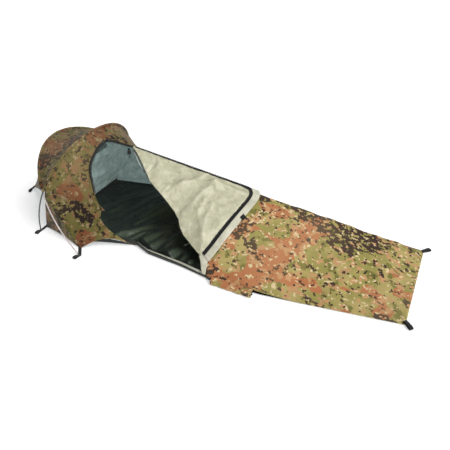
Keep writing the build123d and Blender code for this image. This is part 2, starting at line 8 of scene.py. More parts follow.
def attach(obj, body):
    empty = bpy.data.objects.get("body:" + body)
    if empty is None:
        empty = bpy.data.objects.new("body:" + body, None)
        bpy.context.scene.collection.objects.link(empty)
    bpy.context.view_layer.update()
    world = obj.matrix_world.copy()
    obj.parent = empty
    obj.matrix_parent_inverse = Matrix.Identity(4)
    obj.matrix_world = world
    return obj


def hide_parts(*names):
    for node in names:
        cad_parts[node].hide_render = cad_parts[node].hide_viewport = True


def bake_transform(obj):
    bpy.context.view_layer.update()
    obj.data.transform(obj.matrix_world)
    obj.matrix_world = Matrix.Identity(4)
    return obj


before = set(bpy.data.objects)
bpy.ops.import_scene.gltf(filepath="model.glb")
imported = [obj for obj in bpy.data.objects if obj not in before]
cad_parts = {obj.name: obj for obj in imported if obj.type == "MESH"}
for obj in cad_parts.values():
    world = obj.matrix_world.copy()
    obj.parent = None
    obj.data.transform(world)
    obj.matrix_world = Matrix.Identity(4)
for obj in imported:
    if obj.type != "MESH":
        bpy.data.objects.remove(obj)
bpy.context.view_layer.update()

# A hooped bivy sack with its entrance unzipped and folded back. Metres, in the frame of the
# CAD model: +X from head to foot, +Y from the entrance side to the closed side, +Z up.
MM = 0.001


def at(x, y, z):
    """A point given in millimetres."""
    return Vector((x * MM, y * MM, z * MM))


# ---- the dimensions that the CAD model is drawn with ---------------------------------------
HEAD_X = -0.920
FOOT_X = 1.355
HEM_Z = 0.003
WALL_HEIGHT = 0.042
HEAD_WALL_HEIGHT = 0.016
ZIP_HEM_Z = 0.030
FOOT_HEM_Z = 0.009
SKIRT = 0.012
COVER_BOW = 0.22
FAR_BOW = 0.10
APEX = at(-470, 10, 490)
RIDGE_FOOT = at(1355, 338, 20)
ZIP_CORNER = at(-265, -352, 3)
FOLD_FOOT = at(205, -372, 66)
SIDE_ZIP_START = at(308, -467, 20)
SIDE_ZIP_END = at(572, -479, 20)
SHOULDER_CORNER = at(-565, -520, 3)
HEAD_CORNER = at(-927, -414, 3)
HEAD_EYE = at(-933, -460, 0)
SHOULDER_EYE = at(-522, -578, 0)
HEAD_TIP = at(-926, -512, 0)
SHOULDER_TIP = at(-530, -626, 0)
FRONT_HOOP = {"span": 0.460, "rise": 0.582, "bulge": 0.165, "lean": 16.5, "x": -0.933, "meet": 30.6}
REAR_HOOP = {"span": 0.578, "rise": 0.745, "bulge": -0.030, "lean": -49.0, "x": -0.522, "meet": 35.5}
MEET_INSET = 0.030

CLOTH = 0.0009               # thickness of the visible cloth
PANEL_INSET = 0.0065         # the panels hang this far inside the hoops' centre lines
AWNING_TIP = at(-1384, -40, 14)
HOOD_END_X = -0.470          # the seam between hood and cover on the closed side
UP = Vector((0, 0, 1))

HOOD_EDGE = [
    at(-675, -5, 506), at(-672, -62, 505), at(-670, -125, 482), at(-664, -190, 438),
    at(-655, -226, 398), at(-622, -262, 345), at(-574, -308, 290), at(-544, -334, 235),
    at(-518, -330, 188), at(-496, -372, 150), at(-425, -388, 98), at(-330, -372, 38),
    ZIP_CORNER,
]


# ---- curves and outlines -------------------------------------------------------------------
def follow(stations, x):
    """The value at x of a line drawn through (x, value) stations."""
    for (x0, v0), (x1, v1) in zip(stations, stations[1:]):
        if x <= x1:
            return v0 + (v1 - v0) * max(0.0, x - x0) / (x1 - x0)
    return stations[-1][1]


def spread(first, last, count):
    """Equal steps from one number or point to another."""
    return [first + (last - first) * i / (count - 1) for i in range(count)]


def mirror(point):
    return Vector((point.x, -point.y, point.z))


def resample(points, count, start=0.0, end=1.0):
    """Points at equal distances along a line of points."""
    line = np.array([tuple(p) for p in points])
    reach = np.concatenate([[0], np.cumsum(np.linalg.norm(np.diff(line, axis=0), axis=1))])
    stops = np.linspace(start, end, count) * reach[-1]
    return [Vector([float(np.interp(s, reach, line[:, k])) for k in range(3)]) for s in stops]


def direction(line, i, reach=1):
    """The way that a line of points runs at one of them."""
    return (line[min(i + reach, len(line) - 1)] - line[max(i - reach, 0)]).normalized()


def smooth_line(points, count):
    """A Catmull-Rom curve through the points, evenly divided by point number."""
    ends = [points[0] * 2 - points[1]] + list(points) + [points[-1] * 2 - points[-2]]
    out = []
    for t in spread(0, len(points) - 1, count):
        k = min(int(t), len(points) - 2)
        t -= k
        a, b, c, d = ends[k:k + 4]
        out.append(0.5 * (2 * b + (c - a) * t + (2 * a - 5 * b + 4 * c - d) * t * t
                          + (3 * b - a - 3 * c + d) * t ** 3))
    return out


def hoop_point(hoop, angle, inset=0.0):
    """A point of a hoop: angle 0 is the foot on the entrance side, 180 the far foot."""
    turn = radians(angle)
    across = -(hoop["span"] - inset) * cos(turn) - hoop["bulge"] / 2 * sin(2 * turn)
    up = (hoop["rise"] - inset) * sin(turn)
    lean = radians(hoop["lean"])
    return Vector((hoop["x"] + up * sin(lean), across, up * cos(lean)))


def hoop_arc(hoop, past, count, inset=0.0):
    """A hoop between its two crossings, starting and ending an angle past them."""
    start = hoop["meet"] + past
    return [hoop_point(hoop, angle, inset) for angle in spread(start, 180 - start, count)]


def half_width(x, near):
    stations = [
        (HEAD_X, 0.355), (SHOULDER_CORNER.x, 0.425),
        (ZIP_CORNER.x, 0.340 if near else 0.437),
        (-0.155, 0.388 if near else 0.441), (0.095, 0.414 if near else 0.452),
        (SIDE_ZIP_START.x, 0.452), (0.600, 0.448), (FOOT_X, 0.350),
    ]
    return follow(stations, x)


def near_hem_height(x):
    return follow([(SIDE_ZIP_END.x, ZIP_HEM_Z), (0.780, FOOT_HEM_Z), (FOOT_X, FOOT_HEM_Z)], x)


def ridge(x):
    return APEX.lerp(RIDGE_FOOT, (x - APEX.x) / (RIDGE_FOOT.x - APEX.x))


def near_edge(x):
    return Vector((x, -half_width(x, True) - SKIRT, near_hem_height(x)))


def wall_height(x, near):
    """Height of the floor's wall. It is pressed down along the open entrance."""
    if near:
        stations = [(HEAD_X, HEAD_WALL_HEIGHT), (-0.565, WALL_HEIGHT), (-0.265, 0.034), (0.050, 0.026),
                    (0.294, 0.016), (0.308, 0.010), (0.572, 0.010), (0.760, 0.0025)]
    else:
        stations = [(0.308, HEAD_WALL_HEIGHT), (FOOT_X, 0.0025)]
    return follow(stations, x)


def far_section(x, count):
    """From the hem on the closed side up to the ridge."""
    top = ridge(x)
    hem = Vector((x, half_width(x, False) + SKIRT, HEM_Z))
    return [hem.lerp(top, share) + UP * (FAR_BOW * (top.z - HEM_Z) * sin(pi * share))
            for share in spread(0, 1, count)]


FOLD_AXIS = (FOLD_FOOT - APEX).normalized()
FLAP_NORMAL = FOLD_AXIS.cross(ridge(0.2) - APEX).normalized()


def on_cover(x, share, lift=0.0):
    """A point on the entrance side of the cover: share 0 is the ridge and 1 the hem."""
    top = ridge(x)
    bow = COVER_BOW * (top.z - FOOT_HEM_Z) * sin(pi * share)
    return top.lerp(near_edge(x), share) + UP * bow + FLAP_NORMAL * lift


FOLD_OUT = FLAP_NORMAL.cross(FOLD_AXIS)
if FOLD_OUT.x > 0:
    FOLD_OUT = -FOLD_OUT


def fold_wave(x):
    """How far the soft fold strays from its straight line, towards the opening."""
    share = (x - APEX.x) / (FOLD_FOOT.x - APEX.x)
    stations = [(0, 0), (0.10, 0.006), (0.22, 0.018), (0.32, 0.024), (0.42, 0.014), (0.52, 0.004),
                (0.62, -0.008), (0.68, -0.006), (0.74, 0.012), (0.80, 0.018), (0.90, 0.010), (1, 0)]
    return follow(stations, min(max(share, 0), 1))


def fold_share(x):
    fold = APEX.lerp(FOLD_FOOT, (x - APEX.x) / (FOLD_FOOT.x - APEX.x))
    return (ridge(x).y - fold.y) / (ridge(x).y - near_edge(x).y)


def front_seam(count, far=False):
    """Under the front hoop from its crown to the crossing, then down to the shoulder corner."""
    crown = [hoop_point(FRONT_HOOP, 90 - 2 * i, PANEL_INSET) for i in range(28)]
    meet = hoop_point(FRONT_HOOP, FRONT_HOOP["meet"], MEET_INSET)
    points = resample(crown + [meet, SHOULDER_CORNER], count)
    return [mirror(p) for p in points] if far else points


# ---- meshes --------------------------------------------------------------------------------
def array(rows):
    return np.array([[tuple(p) for p in row] for row in rows])


def coons(first, second, across, hem_rise=0.0):
    """Rows from one curve to the other. hem_rise lifts the middle of the last rows."""
    rows = []
    for i, (p, q) in enumerate(zip(first, second)):
        last = max(0.0, 1 - (len(first) - 1 - i) / (len(first) * 0.18)) ** 2
        rows.append([p.lerp(q, share) + UP * (hem_rise * last * sin(pi * share))
                     for share in spread(0, 1, across)])
    return array(rows)


def grid_normals(grid):
    along = np.gradient(grid, axis=0)
    across = np.gradient(grid, axis=1)
    normal = np.cross(across, along)
    length = np.linalg.norm(normal, axis=2, keepdims=True)
    return normal / np.maximum(length, 1e-9)


def grid_places(grid):
    """Distance across and along each point of a grid, as the cloth lies flat."""
    along = np.linalg.norm(np.diff(grid, axis=0), axis=2).mean(axis=1)
    across = np.linalg.norm(np.diff(grid, axis=1), axis=2).mean(axis=0)
    v = np.concatenate([[0], np.cumsum(along)])
    u = np.concatenate([[0], np.cumsum(across)])
    return np.meshgrid(u, v)


def edge_fade(shape, reach=0.12, sides=(1, 1, 1, 1)):
    """1 inside a grid and 0 on the edges named: first row, last row, first and last column."""
    rows = np.linspace(0, 1, shape[0])[:, None]
    columns = np.linspace(0, 1, shape[1])[None, :]
    fade = np.ones(shape)
    for wanted, distance in zip(sides, (rows, 1 - rows, columns, 1 - columns)):
        if wanted:
            fade = fade * np.clip(distance / reach, 0, 1) ** 0.7
    return fade


def creases(u, v, angle, width, stretch, seed, sharp=1.0):
    """Long soft creases across a sheet, from -1 to 1."""
    turn = radians(angle)
    a = (u * cos(turn) + v * sin(turn)) / width
    b = (-u * sin(turn) + v * cos(turn)) / (width * stretch)
    out = np.zeros(a.shape)
    for index in np.ndindex(a.shape):
        place = Vector((a[index], b[index], seed))
        bend = noise.noise(place * 0.45 + Vector((7.1, 0, seed)))
        out[index] = noise.noise(place + Vector((bend * 1.5, 0, 0)))
    return np.sign(out) * np.abs(out * 1.6) ** sharp


def wrinkle(grid, fields, fade):
    """Moves a grid along its normals. Each field is (height, angle, width, stretch, seed, sharp)."""
    u, v = grid_places(grid)
    normals = grid_normals(grid)
    move = np.zeros(u.shape)
    for height, *crease in fields:
        move += height * creases(u, v, *crease)
    return grid + normals * (move * fade)[:, :, None]


def outwards(grid, inside):
    """The grid, turned so that its quads face away from a place inside the sack."""
    away = (grid - np.array(inside)) * grid_normals(grid)
    return grid if away.sum() > 0 else grid[:, ::-1]


def mesh_object(name, verts, faces):
    mesh = bpy.data.meshes.new(name)
    mesh.from_pydata(verts, [], faces)
    mesh.shade_smooth()
    piece = bpy.data.objects.new(name, mesh)
    bpy.context.collection.objects.link(piece)
    return piece


def grid_object(name, grid):
    """A mesh of quads with a UV map in metres of cloth."""
    rows, columns = grid.shape[:2]
    starts = [i * columns + j for i in range(rows - 1) for j in range(columns - 1)]
    piece = mesh_object(name, [tuple(p) for p in grid.reshape(-1, 3)],
                        [(a, a + 1, a + columns + 1, a + columns) for a in starts])
    mesh = piece.data
    places = np.stack([p.ravel() for p in grid_places(grid)], 1)
    index = np.empty(len(mesh.loops), dtype=np.int32)
    mesh.loops.foreach_get("vertex_index", index)
    mesh.uv_layers.new(name="cloth").data.foreach_set("uv", places[index].astype(np.float32).ravel())
    return piece


def give(piece, *materials):
    for material in materials:
        piece.data.materials.append(material)


SETTLE_FRAMES = 20
CLOTH_SETTINGS = {
    "quality": 5, "mass": 0.12, "vertex_group_mass": "held", "air_damping": 4,
    "tension_stiffness": 40, "compression_stiffness": 30, "shear_stiffness": 12, "bending_stiffness": 0.6,
    "tension_damping": 12, "compression_damping": 12, "shear_damping": 8, "bending_damping": 2,
}


def settle(piece, shape, slack, gravity=1.0, free_end=False, cap=0.012):
    """Lets a sheet that is held by its edges take its own creases, within a cap either way."""
    start = np.array([tuple(v.co) for v in piece.data.vertices]).reshape(*shape, 3)
    held = np.ones(shape, dtype=bool)
    held[1:-1, 1:None if free_end else -1] = False
    piece.vertex_groups.new(name="held").add(np.flatnonzero(held).tolist(), 1.0, "REPLACE")
    cloth = piece.modifiers.new("cloth", "CLOTH")
    for name, value in CLOTH_SETTINGS.items():
        setattr(cloth.settings, name, value)
    cloth.settings.shrink_min = -slack
    cloth.settings.effector_weights.gravity = gravity
    cloth.collision_settings.use_collision = False
    cloth.point_cache.frame_start = 1
    cloth.point_cache.frame_end = SETTLE_FRAMES
    scene = bpy.context.scene
    for number in range(1, SETTLE_FRAMES + 1):
        scene.frame_set(number)
    shaped = piece.evaluated_get(bpy.context.evaluated_depsgraph_get())
    move = np.array([tuple(v.co) for v in shaped.data.vertices]).reshape(*shape, 3) - start
    piece.modifiers.clear()
    piece.vertex_groups.clear()
    scene.frame_set(1)
    length = np.linalg.norm(move, axis=2, keepdims=True)
    placed = start + move / np.maximum(length, 1e-9) * cap * np.tanh(length / cap)
    placed[:, :, 2] = np.maximum(placed[:, :, 2], np.minimum(start[:, :, 2], HEM_Z))
    piece.data.vertices.foreach_set("co", placed.ravel())
    piece.data.update()


def thicken(piece, thickness=CLOTH, inner=1, offset=-1):
    solid = piece.modifiers.new("thickness", "SOLIDIFY")
    solid.thickness = thickness
    solid.offset = offset
    solid.material_offset = inner


def declare(grid):
    """Works out the flat size of a cloth panel from its edges; the result is not stored or used."""
    width = float(np.linalg.norm(np.diff(grid, axis=1), axis=2).sum(axis=1).max())
    length = float(np.linalg.norm(np.diff(grid, axis=0), axis=2).sum(axis=0).max())
    p, q, r, s = grid[:-1, :-1], grid[:-1, 1:], grid[1:, 1:], grid[1:, :-1]
    halves = np.linalg.norm(np.cross(q - p, r - p), axis=2) + np.linalg.norm(np.cross(r - p, s - p), axis=2)
    area = float(halves.sum() / 2)
    if area < width * length / 3:
        # a slanting triangle: its height across its longest side
        width = 2 * area / length


def fit(piece, body, node=None):
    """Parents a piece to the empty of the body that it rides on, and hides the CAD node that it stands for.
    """
    if body:
        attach(piece, body)
    if node:
        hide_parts(node)
    material = piece.data.materials[0].name.split(".")[0]
    return piece


def panel(name, grid, outer, inner, body="shell", in_cad=True, held="stretched", fields=(), slack=0.0,
          fade=None, inside=None, lines=None, **how):
    """A cloth panel whose outer material faces away from inside. in_cad: a node of its name exists."""
    flat = grid
    if inside is None:
        inside = (float(np.clip(grid[:, :, 0].mean(), -0.9, 1.3)), 0.0, 0.05)
    if fields:
        grid = wrinkle(grid, fields, edge_fade(grid.shape[:2]) if fade is None else fade)
    if lines is not None:
        grid = grid + lines
    grid = outwards(grid, inside)
    piece = grid_object(name, grid)
    if slack:
        settle(piece, grid.shape[:2], slack, **how)
    give(piece, outer, inner)
    thicken(piece)
    fit(piece, body, name if in_cad else None)
    declare(flat)
    return piece


def patch(name, grid, material, thickness, body, in_cad=True, offset=-1):
    """A small piece of one material, such as a strap or a label."""
    piece = grid_object(name, grid)
    give(piece, material)
    thicken(piece, thickness, 0, offset)
    return fit(piece, body, name if in_cad else None)


# ---- materials -----------------------------------------------------------------------------
def srgb(r, g, b):
    """A colour given as it looks on a screen, 0 to 255."""
    def linear(c):
        c /= 255
        return c / 12.92 if c <= 0.04045 else ((c + 0.055) / 1.055) ** 2.4
    return (linear(r), linear(g), linear(b), 1.0)


class Nodes:
    """A short way to wire a material."""

    def __init__(self, name, roughness=0.7, sheen=0.0, specular=0.3, metallic=0.0):
        self.material = bpy.data.materials.new(name)
        self.material.use_nodes = True
        self.tree = self.material.node_tree
        self.shader = self.tree.nodes["Principled BSDF"]
        self.feed(self.shader, Roughness=roughness, Specular_IOR_Level=specular, Metallic=metallic,
                  Sheen_Weight=sheen)

    def feed(self, node, **inputs):
        """Sets the sockets and settings of a node by name, with _ for a space."""
        for key, value in inputs.items():
            socket = key.replace("_", " ")
            if socket not in node.inputs:
                setattr(node, key, value)
            elif value is not None:
                self.put(node.inputs[socket], value)
        return node

    def add(self, kind, **inputs):
        return self.feed(self.tree.nodes.new("ShaderNode" + kind), **inputs)

    def put(self, socket, value):
        if isinstance(value, bpy.types.NodeSocket):
            self.tree.links.new(value, socket)
        else:
            socket.default_value = value

    def place(self, kind="Object"):
        return self.add("TexCoord").outputs[kind]

    def scaled(self, place, scale, turn=0.0):
        scale = scale if hasattr(scale, "__len__") else (scale,) * 3
        return self.add("Mapping", Vector=place, Scale=scale, Rotation=(0, 0, turn)).outputs[0]

    def noise(self, place, scale, detail=2.0, rough=0.5, distortion=0.0):
        return self.add("TexNoise", Vector=place, Scale=scale, Detail=detail, Roughness=rough,
                        Distortion=distortion).outputs["Fac"]

    def step(self, value, low, high):
        return self.add("MapRange", interpolation_type="SMOOTHSTEP", Value=value, From_Min=low,
                        From_Max=high).outputs[0]

    def numbered(self, node, sockets, values, output):
        """Feeds sockets that are known by number."""
        for socket, value in zip(sockets, values):
            self.put(node.inputs[socket], value)
        return node.outputs[output]

    def math(self, operation, a, b=0.0, c=0.0):
        return self.numbered(self.add("Math", operation=operation), (0, 1, 2), (a, b, c), 0)

    def mix(self, share, a, b, blend="MIX"):
        node = self.add("Mix", data_type="RGBA", blend_type=blend)
        return self.numbered(node, (0, 6, 7), (share, a, b), 2)

    def mix_vectors(self, share, a, b):
        return self.numbered(self.add("Mix", data_type="VECTOR"), (0, 4, 5), (share, a, b), 1)

    def split(self, vector):
        return self.add("SeparateXYZ", Vector=vector).outputs

    def bump(self, height, strength, distance, below=None):
        return self.add("Bump", Strength=strength, Distance=distance, Height=height, Normal=below).outputs[0]

    def weave(self, place, pitch):
        """Height of a plain weave with threads of this pitch, in metres."""
        warp, weft = [self.math("SINE", self.math("MULTIPLY", axis, pi / pitch))
                      for axis in self.split(place)[:2]]
        return self.math("ABSOLUTE", self.math("MULTIPLY", warp, weft))

    def done(self, colour=None, normal=None, roughness=None):
        self.feed(self.shader, Base_Color=colour, Normal=normal, Roughness=roughness)
        return self.material


def camo_cloth():
    """Matt woven cloth printed with a blotchy woodland pattern of this file's own making."""
    n = Nodes("camo_cloth", roughness=0.86, sheen=0.12, specular=0.22)
    place = n.place()
    cells = n.add("TexVoronoi", Vector=place, Scale=105.0, Randomness=1.0)
    blot = n.mix_vectors(0.82, place, cells.outputs["Position"])
    base = n.mix(n.step(n.noise(blot, 7.0, 2.0), 0.40, 0.60), srgb(154, 146, 78), srgb(180, 163, 100))
    moss = n.step(n.noise(blot, 15.0, 1.0), 0.59, 0.62)
    brick = n.step(n.noise(n.scaled(blot, (1.0, 1.25, 1.0)), 4.6, 1.5, 0.45), 0.555, 0.568)
    tan = n.step(n.noise(blot, 21.0, 1.5), 0.560, 0.575)
    cluster = n.step(n.noise(n.scaled(blot, (1.0, 1.15, 1.0), 4.6), 3.7, 1.5, 0.5), 0.53, 0.60)
    grains = n.noise(n.scaled(blot, (1.0, 1.35, 1.0), 0.6), 31.0, 2.0, 0.58)
    flecks = n.step(n.noise(blot, 40.0, 1.0), 0.634, 0.644)
    dark = n.step(n.math("MULTIPLY_ADD", cluster, 0.150, grains), 0.606, 0.616)
    for print_layer, colour in ((moss, (122, 118, 56)), (brick, (184, 116, 74)), (tan, (198, 150, 104)),
                                (flecks, (224, 202, 156)), (dark, (62, 44, 36))):
        base = n.mix(print_layer, base, srgb(*colour))
    # Painted shade: the print is multiplied darker over the hood end, standing in for the shade that the hood
    # lies in; it fades out towards the foot.
    out_of_painted_shade = n.step(n.split(place)[0], -0.62, 0.10)
    base = n.mix(out_of_painted_shade, n.mix(1.0, base, srgb(158, 156, 150), "MULTIPLY"), base)
    fading = n.math("MULTIPLY", n.step(n.noise(place, 2.2, 3.0), 0.35, 0.8), 0.16)
    faded = n.mix(fading, base, srgb(206, 184, 140))
    normal = n.bump(n.weave(n.place("UV"), 0.0011), 0.35, 0.0004)
    normal = n.bump(n.noise(place, 55.0, 3.0), 0.25, 0.0022, normal)
    rough = n.math("MULTIPLY_ADD", n.noise(place, 30.0), 0.12, 0.78)
    return n.done(faded, normal, rough)


def coated_cloth(name, light, dark, roughness, crease=0.35, coat=0.0, specular=0.45, glow=0.0,
                 facets=16.0, sheen=None):
    """Coated cloth with fine crush marks and a faint weave."""
    n = Nodes(name, roughness=roughness, specular=specular)
    if coat:
        n.feed(n.shader, Coat_Weight=coat, Coat_Roughness=0.25)
    place = n.place()
    marks = n.noise(place, 24.0, 5.0, 0.62, 0.6)
    colour = n.mix(n.step(marks, 0.35, 0.68), srgb(*dark), srgb(*light))
    # Painted sheen: where the mesh's sheen attribute is set, the colour is lightened, a painted highlight.
    if sheen:
        colour = n.mix(n.add("Attribute", attribute_name="sheen").outputs["Fac"], colour, srgb(*sheen))
    stray = n.scaled(n.add("TexNoise", Scale=9.0, Detail=2.0).outputs["Color"], 0.05)
    warped = n.numbered(n.add("VectorMath", operation="ADD"), (0, 1), (place, stray), 0)
    folds = n.add("TexVoronoi", feature="DISTANCE_TO_EDGE", Vector=warped, Scale=facets)
    normal = n.bump(n.step(folds.outputs["Distance"], 0.0, 0.05), crease, 0.0016)
    normal = n.bump(marks, crease, 0.004, normal)
    normal = n.bump(n.weave(n.place("UV"), 0.0012), 0.18, 0.0003, normal)
    # glow: the colour is also emitted, painted light from a part that is no lamp.
    if glow:
        n.feed(n.shader, Emission_Color=colour, Emission_Strength=glow)
    return n.done(colour, normal, n.math("MULTIPLY_ADD", marks, 0.22, roughness - 0.11))


def woven_tape(name, light, dark, pitch=0.0016):
    """Narrow woven strap or zip tape with ribs across it."""
    n = Nodes(name, roughness=0.8, sheen=0.25, specular=0.25)
    colour = n.mix(n.step(n.noise(n.place(), 120.0, 3.0), 0.42, 0.72), srgb(*dark), srgb(*light))
    normal = n.bump(n.weave(n.place("UV"), pitch), 0.7, 0.0006)
    return n.done(colour, n.bump(n.noise(n.place(), 700.0, 2.0), 0.3, 0.0003, normal))


def net():
    """Fine insect net: grey threads with holes between them."""
    n = Nodes("net", roughness=0.8)
    cloth = n.place("UV")
    holes = []
    for axis in n.split(cloth)[:2]:
        wave = n.math("SINE", n.math("MULTIPLY", axis, 2 * pi / 0.0035))
        holes.append(n.step(n.math("ABSOLUTE", wave), 0.35, 0.5))
    n.feed(n.shader, Alpha=n.math("SUBTRACT", 1.0, n.math("MULTIPLY", *holes)))
    return n.done(srgb(120, 134, 130), n.bump(n.weave(cloth, 0.0035), 0.5, 0.0005))


def hard(name, light, dark, roughness, metallic=0.0, scale=90.0, stretch=(1, 1, 1)):
    """Moulded, drawn or plated material with fine scuffs."""
    n = Nodes(name, roughness=roughness, metallic=metallic, specular=0.5)
    place = n.scaled(n.place(), stretch)
    scuffs = n.noise(place, scale, 5.0, 0.65)
    colour = n.mix(n.step(scuffs, 0.45, 0.75), srgb(*dark), srgb(*light))
    rough = n.math("MULTIPLY_ADD", scuffs, 0.3, max(roughness - 0.12, 0.05))
    return n.done(colour, n.bump(scuffs, 0.2, 0.0004), rough)


CAMO = camo_cloth()
# The groundsheet's sheen colour is a painted highlight on the crest sides that face the key light.
GROUND = coated_cloth("groundsheet", (30, 37, 31), (15, 20, 17), 0.34, crease=0.9, coat=0.15,
                      specular=0.26, facets=5.0, sheen=(62, 72, 58))
GROUND_UNDER = coated_cloth("groundsheet_under", (40, 46, 40), (20, 25, 21), 0.6)
# The lining glows: painted light standing in for the light that comes through the shell into the hood.
LINING = coated_cloth("lining", (152, 168, 164), (122, 140, 136), 0.5, crease=0.25, glow=0.36)
LINING_OUT = coated_cloth("lining_outside", (132, 144, 138), (106, 118, 112), 0.55, crease=0.25)
PALE_LINING = coated_cloth("pale_lining", (196, 206, 200), (164, 176, 170), 0.5, crease=0.2)
BEIGE = coated_cloth("coated_underside", (208, 205, 178), (188, 186, 157), 0.46, crease=0.75,
                     facets=9.0)
PALE = coated_cloth("pale_strip", (222, 219, 198), (200, 198, 176), 0.5, crease=0.3)
TAPE = woven_tape("zip_tape", (30, 31, 31), (14, 15, 15))
PALE_TAPE = woven_tape("pale_tape", (216, 214, 196), (186, 186, 168))
WEBBING = woven_tape("webbing", (34, 35, 36), (15, 16, 17), pitch=0.0021)
THREAD = woven_tape("thread", (96, 92, 66), (70, 66, 46), pitch=0.0006)
DARK_THREAD = woven_tape("dark_thread", (44, 44, 42), (24, 24, 24), pitch=0.0006)
NET = net()
COIL = hard("zip_coil", (52, 53, 54), (22, 22, 23), 0.42)
SLIDER = hard("slider", (62, 62, 64), (24, 24, 25), 0.38, metallic=0.6)
DARK_POLE = hard("dark_pole", (112, 116, 116), (74, 78, 78), 0.42, scale=60, stretch=(1, 1, 0.12))
PALE_POLE = hard("pale_pole", (226, 216, 214), (190, 178, 178), 0.4, scale=60, stretch=(1, 1, 0.12))
STEEL = hard("steel", (206, 206, 204), (168, 168, 166), 0.3, metallic=0.9, scale=220)
LABEL = coated_cloth("label", (176, 182, 174), (138, 146, 138), 0.6, crease=0.6)


def give_node(node, material):
    """A CAD node keeps its shape and takes a finished material."""
    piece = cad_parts[node]
    piece.data.materials.clear()
    piece.data.materials.append(material)


# ---- tub floor -----------------------------------------------------------------------------
FLOOR_ROWS = 200
FLOOR_COLUMNS = 84


def wall_flare(x, near):
    """How far the floor's wall leans out to the shell that it is sewn to."""
    if near:
        return follow([(HEAD_X, 0.052), (-0.565, 0.080), (-0.500, 0.034), (-0.440, 0.012), (-0.265, 0.008),
                       (FOOT_X, 0.004)], x)
    return follow([(HEAD_X, 0.052), (-0.565, 0.088), (-0.470, 0.014), (0.300, 0.011), (FOOT_X, 0.006)], x)


def floor_row(x):
    """A row of the floor from the near wall's top, across the ground, to the far wall's top."""
    near, far = -half_width(x, True), half_width(x, False)
    arched = follow([(HEAD_X, 0.0), (-0.565, 0.0), (-0.500, 0.022), (-0.400, 0.028), (-0.300, 0.020),
                     (-0.262, 0.0), (FOOT_X, 0.0)], x)
    inside = [Vector((x, y, 0.0008)) for y in spread(near, far, FLOOR_COLUMNS - 6)[1:-1]]
    walls = []
    for hem, out, height in ((near, -wall_flare(x, True), wall_height(x, True) + arched),
                             (far, wall_flare(x, False), wall_height(x, False))):
        walls.append([Vector((x, hem + out * k ** 0.8, 0.0012 + height * k)) for k in (0.08, 0.33, 0.66, 1)])
    return walls[0][::-1] + inside + walls[1]


def floor_grid():
    xs = spread(HEAD_X + 0.004, FOOT_X - 0.002, FLOOR_ROWS)
    grid = array([floor_row(x) for x in xs])
    u, v = grid_places(grid)
    fade = edge_fade(grid.shape[:2], 0.025)
    fade[:, :5] = 0
    fade[:, -5:] = 0
    creased = [(HEAD_X, 0.08), (-0.62, 0.16), (-0.36, 1.0), (0.25, 1.0), (0.60, 0.28), (0.90, 0.10),
               (FOOT_X, 0.0)]
    fade *= np.array([follow(creased, x) for x in xs])[:, None]
    fade *= np.clip((u.max() - 0.10 - u) / 0.16, 0, 1)
    lift = np.zeros(u.shape)
    for height, *crease in ((0.052, 93, 0.13, 4.5, 3.1), (0.032, 122, 0.085, 5.0, 8.4),
                            (0.012, 105, 0.040, 6.0, 1.7)):
        lift += height * np.maximum(creases(u, v, *crease) + 0.12, 0)
    grid[:, :, 2] += lift * fade
    head = grid[0].copy()
    head[:, 0] = HEAD_X - 0.003
    head[:, 2] = np.maximum(head[:, 2], HEAD_WALL_HEIGHT)
    middle = (head + grid[0]) / 2
    return np.concatenate([head[None], middle[None], grid])


SHEEN_SIDE = np.array([0.58, -0.30, 0.76])   # the side of each crease that catches the light


def build_floor(grid):
    grid = outwards(grid, (0.0, 0.0, -4.0))
    piece = grid_object("groundsheet", grid)
    tilt = grid_normals(grid)
    tilt = tilt * np.sign(tilt[:, :, 2:])
    # Painted sheen: the crest sides that face SHEEN_SIDE are marked for a lighter colour, standing in for the
    # light they catch.
    facing = np.clip((tilt @ SHEEN_SIDE - 0.800) * 5.5, 0, 1)
    facing[:, :6] = 0
    facing[:, -6:] = 0
    sheen = piece.data.attributes.new("sheen", "FLOAT", "POINT")
    sheen.data.foreach_set("value", facing.ravel().astype(np.float32))
    give(piece, GROUND, GROUND_UNDER)
    thicken(piece, 0.0005)
    fit(piece, "shell", "tub_floor")
    declare(grid)


FLOOR = floor_grid()

# ---- camouflage shell ----------------------------------------------------------------------
COVER_CORNER_X = 0.262
BINDING_X = 0.190


def cover_limit(x):
    """How far down the entrance side the cover reaches, as a share from ridge to hem."""
    if x < FOLD_FOOT.x - 0.01:
        return max(fold_share(x), 0.002)
    start = fold_share(FOLD_FOOT.x - 0.01)
    return follow([(FOLD_FOOT.x - 0.01, start), (0.225, 0.920), (0.246, 0.970), (COVER_CORNER_X, 1.0)], x)


COVER_ROWS = 170
FAR_COLUMNS = 34
NEAR_COLUMNS = 40


def cover_grid():
    rows = []
    for x in spread(HOOD_END_X, FOOT_X, COVER_ROWS):
        limit = cover_limit(x)
        out = FOLD_OUT * (fold_wave(x) - 0.004 if x < FOLD_FOOT.x else 0.0)
        shares = spread(0, 1, NEAR_COLUMNS + 1)[1:]
        rows.append(far_section(x, FAR_COLUMNS)
                    + [on_cover(x, limit * share) + out * share ** 4 for share in shares])
    rows.append([Vector((FOOT_X + 0.005, p.y, HEM_Z)) for p in rows[-1]])
    return array(rows)


def build_cover():
    grid = cover_grid()
    fade = edge_fade(grid.shape[:2], 0.05)
    # under the flap the cover lies lower and smoother
    covered = np.clip((0.300 - grid[:, :, 0]) / 0.060, 0, 1)
    covered *= np.clip((np.arange(grid.shape[1]) - FAR_COLUMNS) / 7, 0, 1)[None, :]
    fade *= 1 - 0.85 * covered
    normals = grid_normals(grid)
    grid = grid - normals * np.sign(normals[60, 40, 2]) * 0.011 * covered[:, :, None]
    panel("top_cover", grid, CAMO, BEIGE, fade=fade, slack=0.006, gravity=0.4,
          fields=[(0.006, 84, 0.16, 5.0, 2.2, 1.2), (0.0035, 70, 0.07, 6.0, 6.3, 1.1),
                  (0.0018, 95, 0.04, 4.0, 9.5, 1.0)])


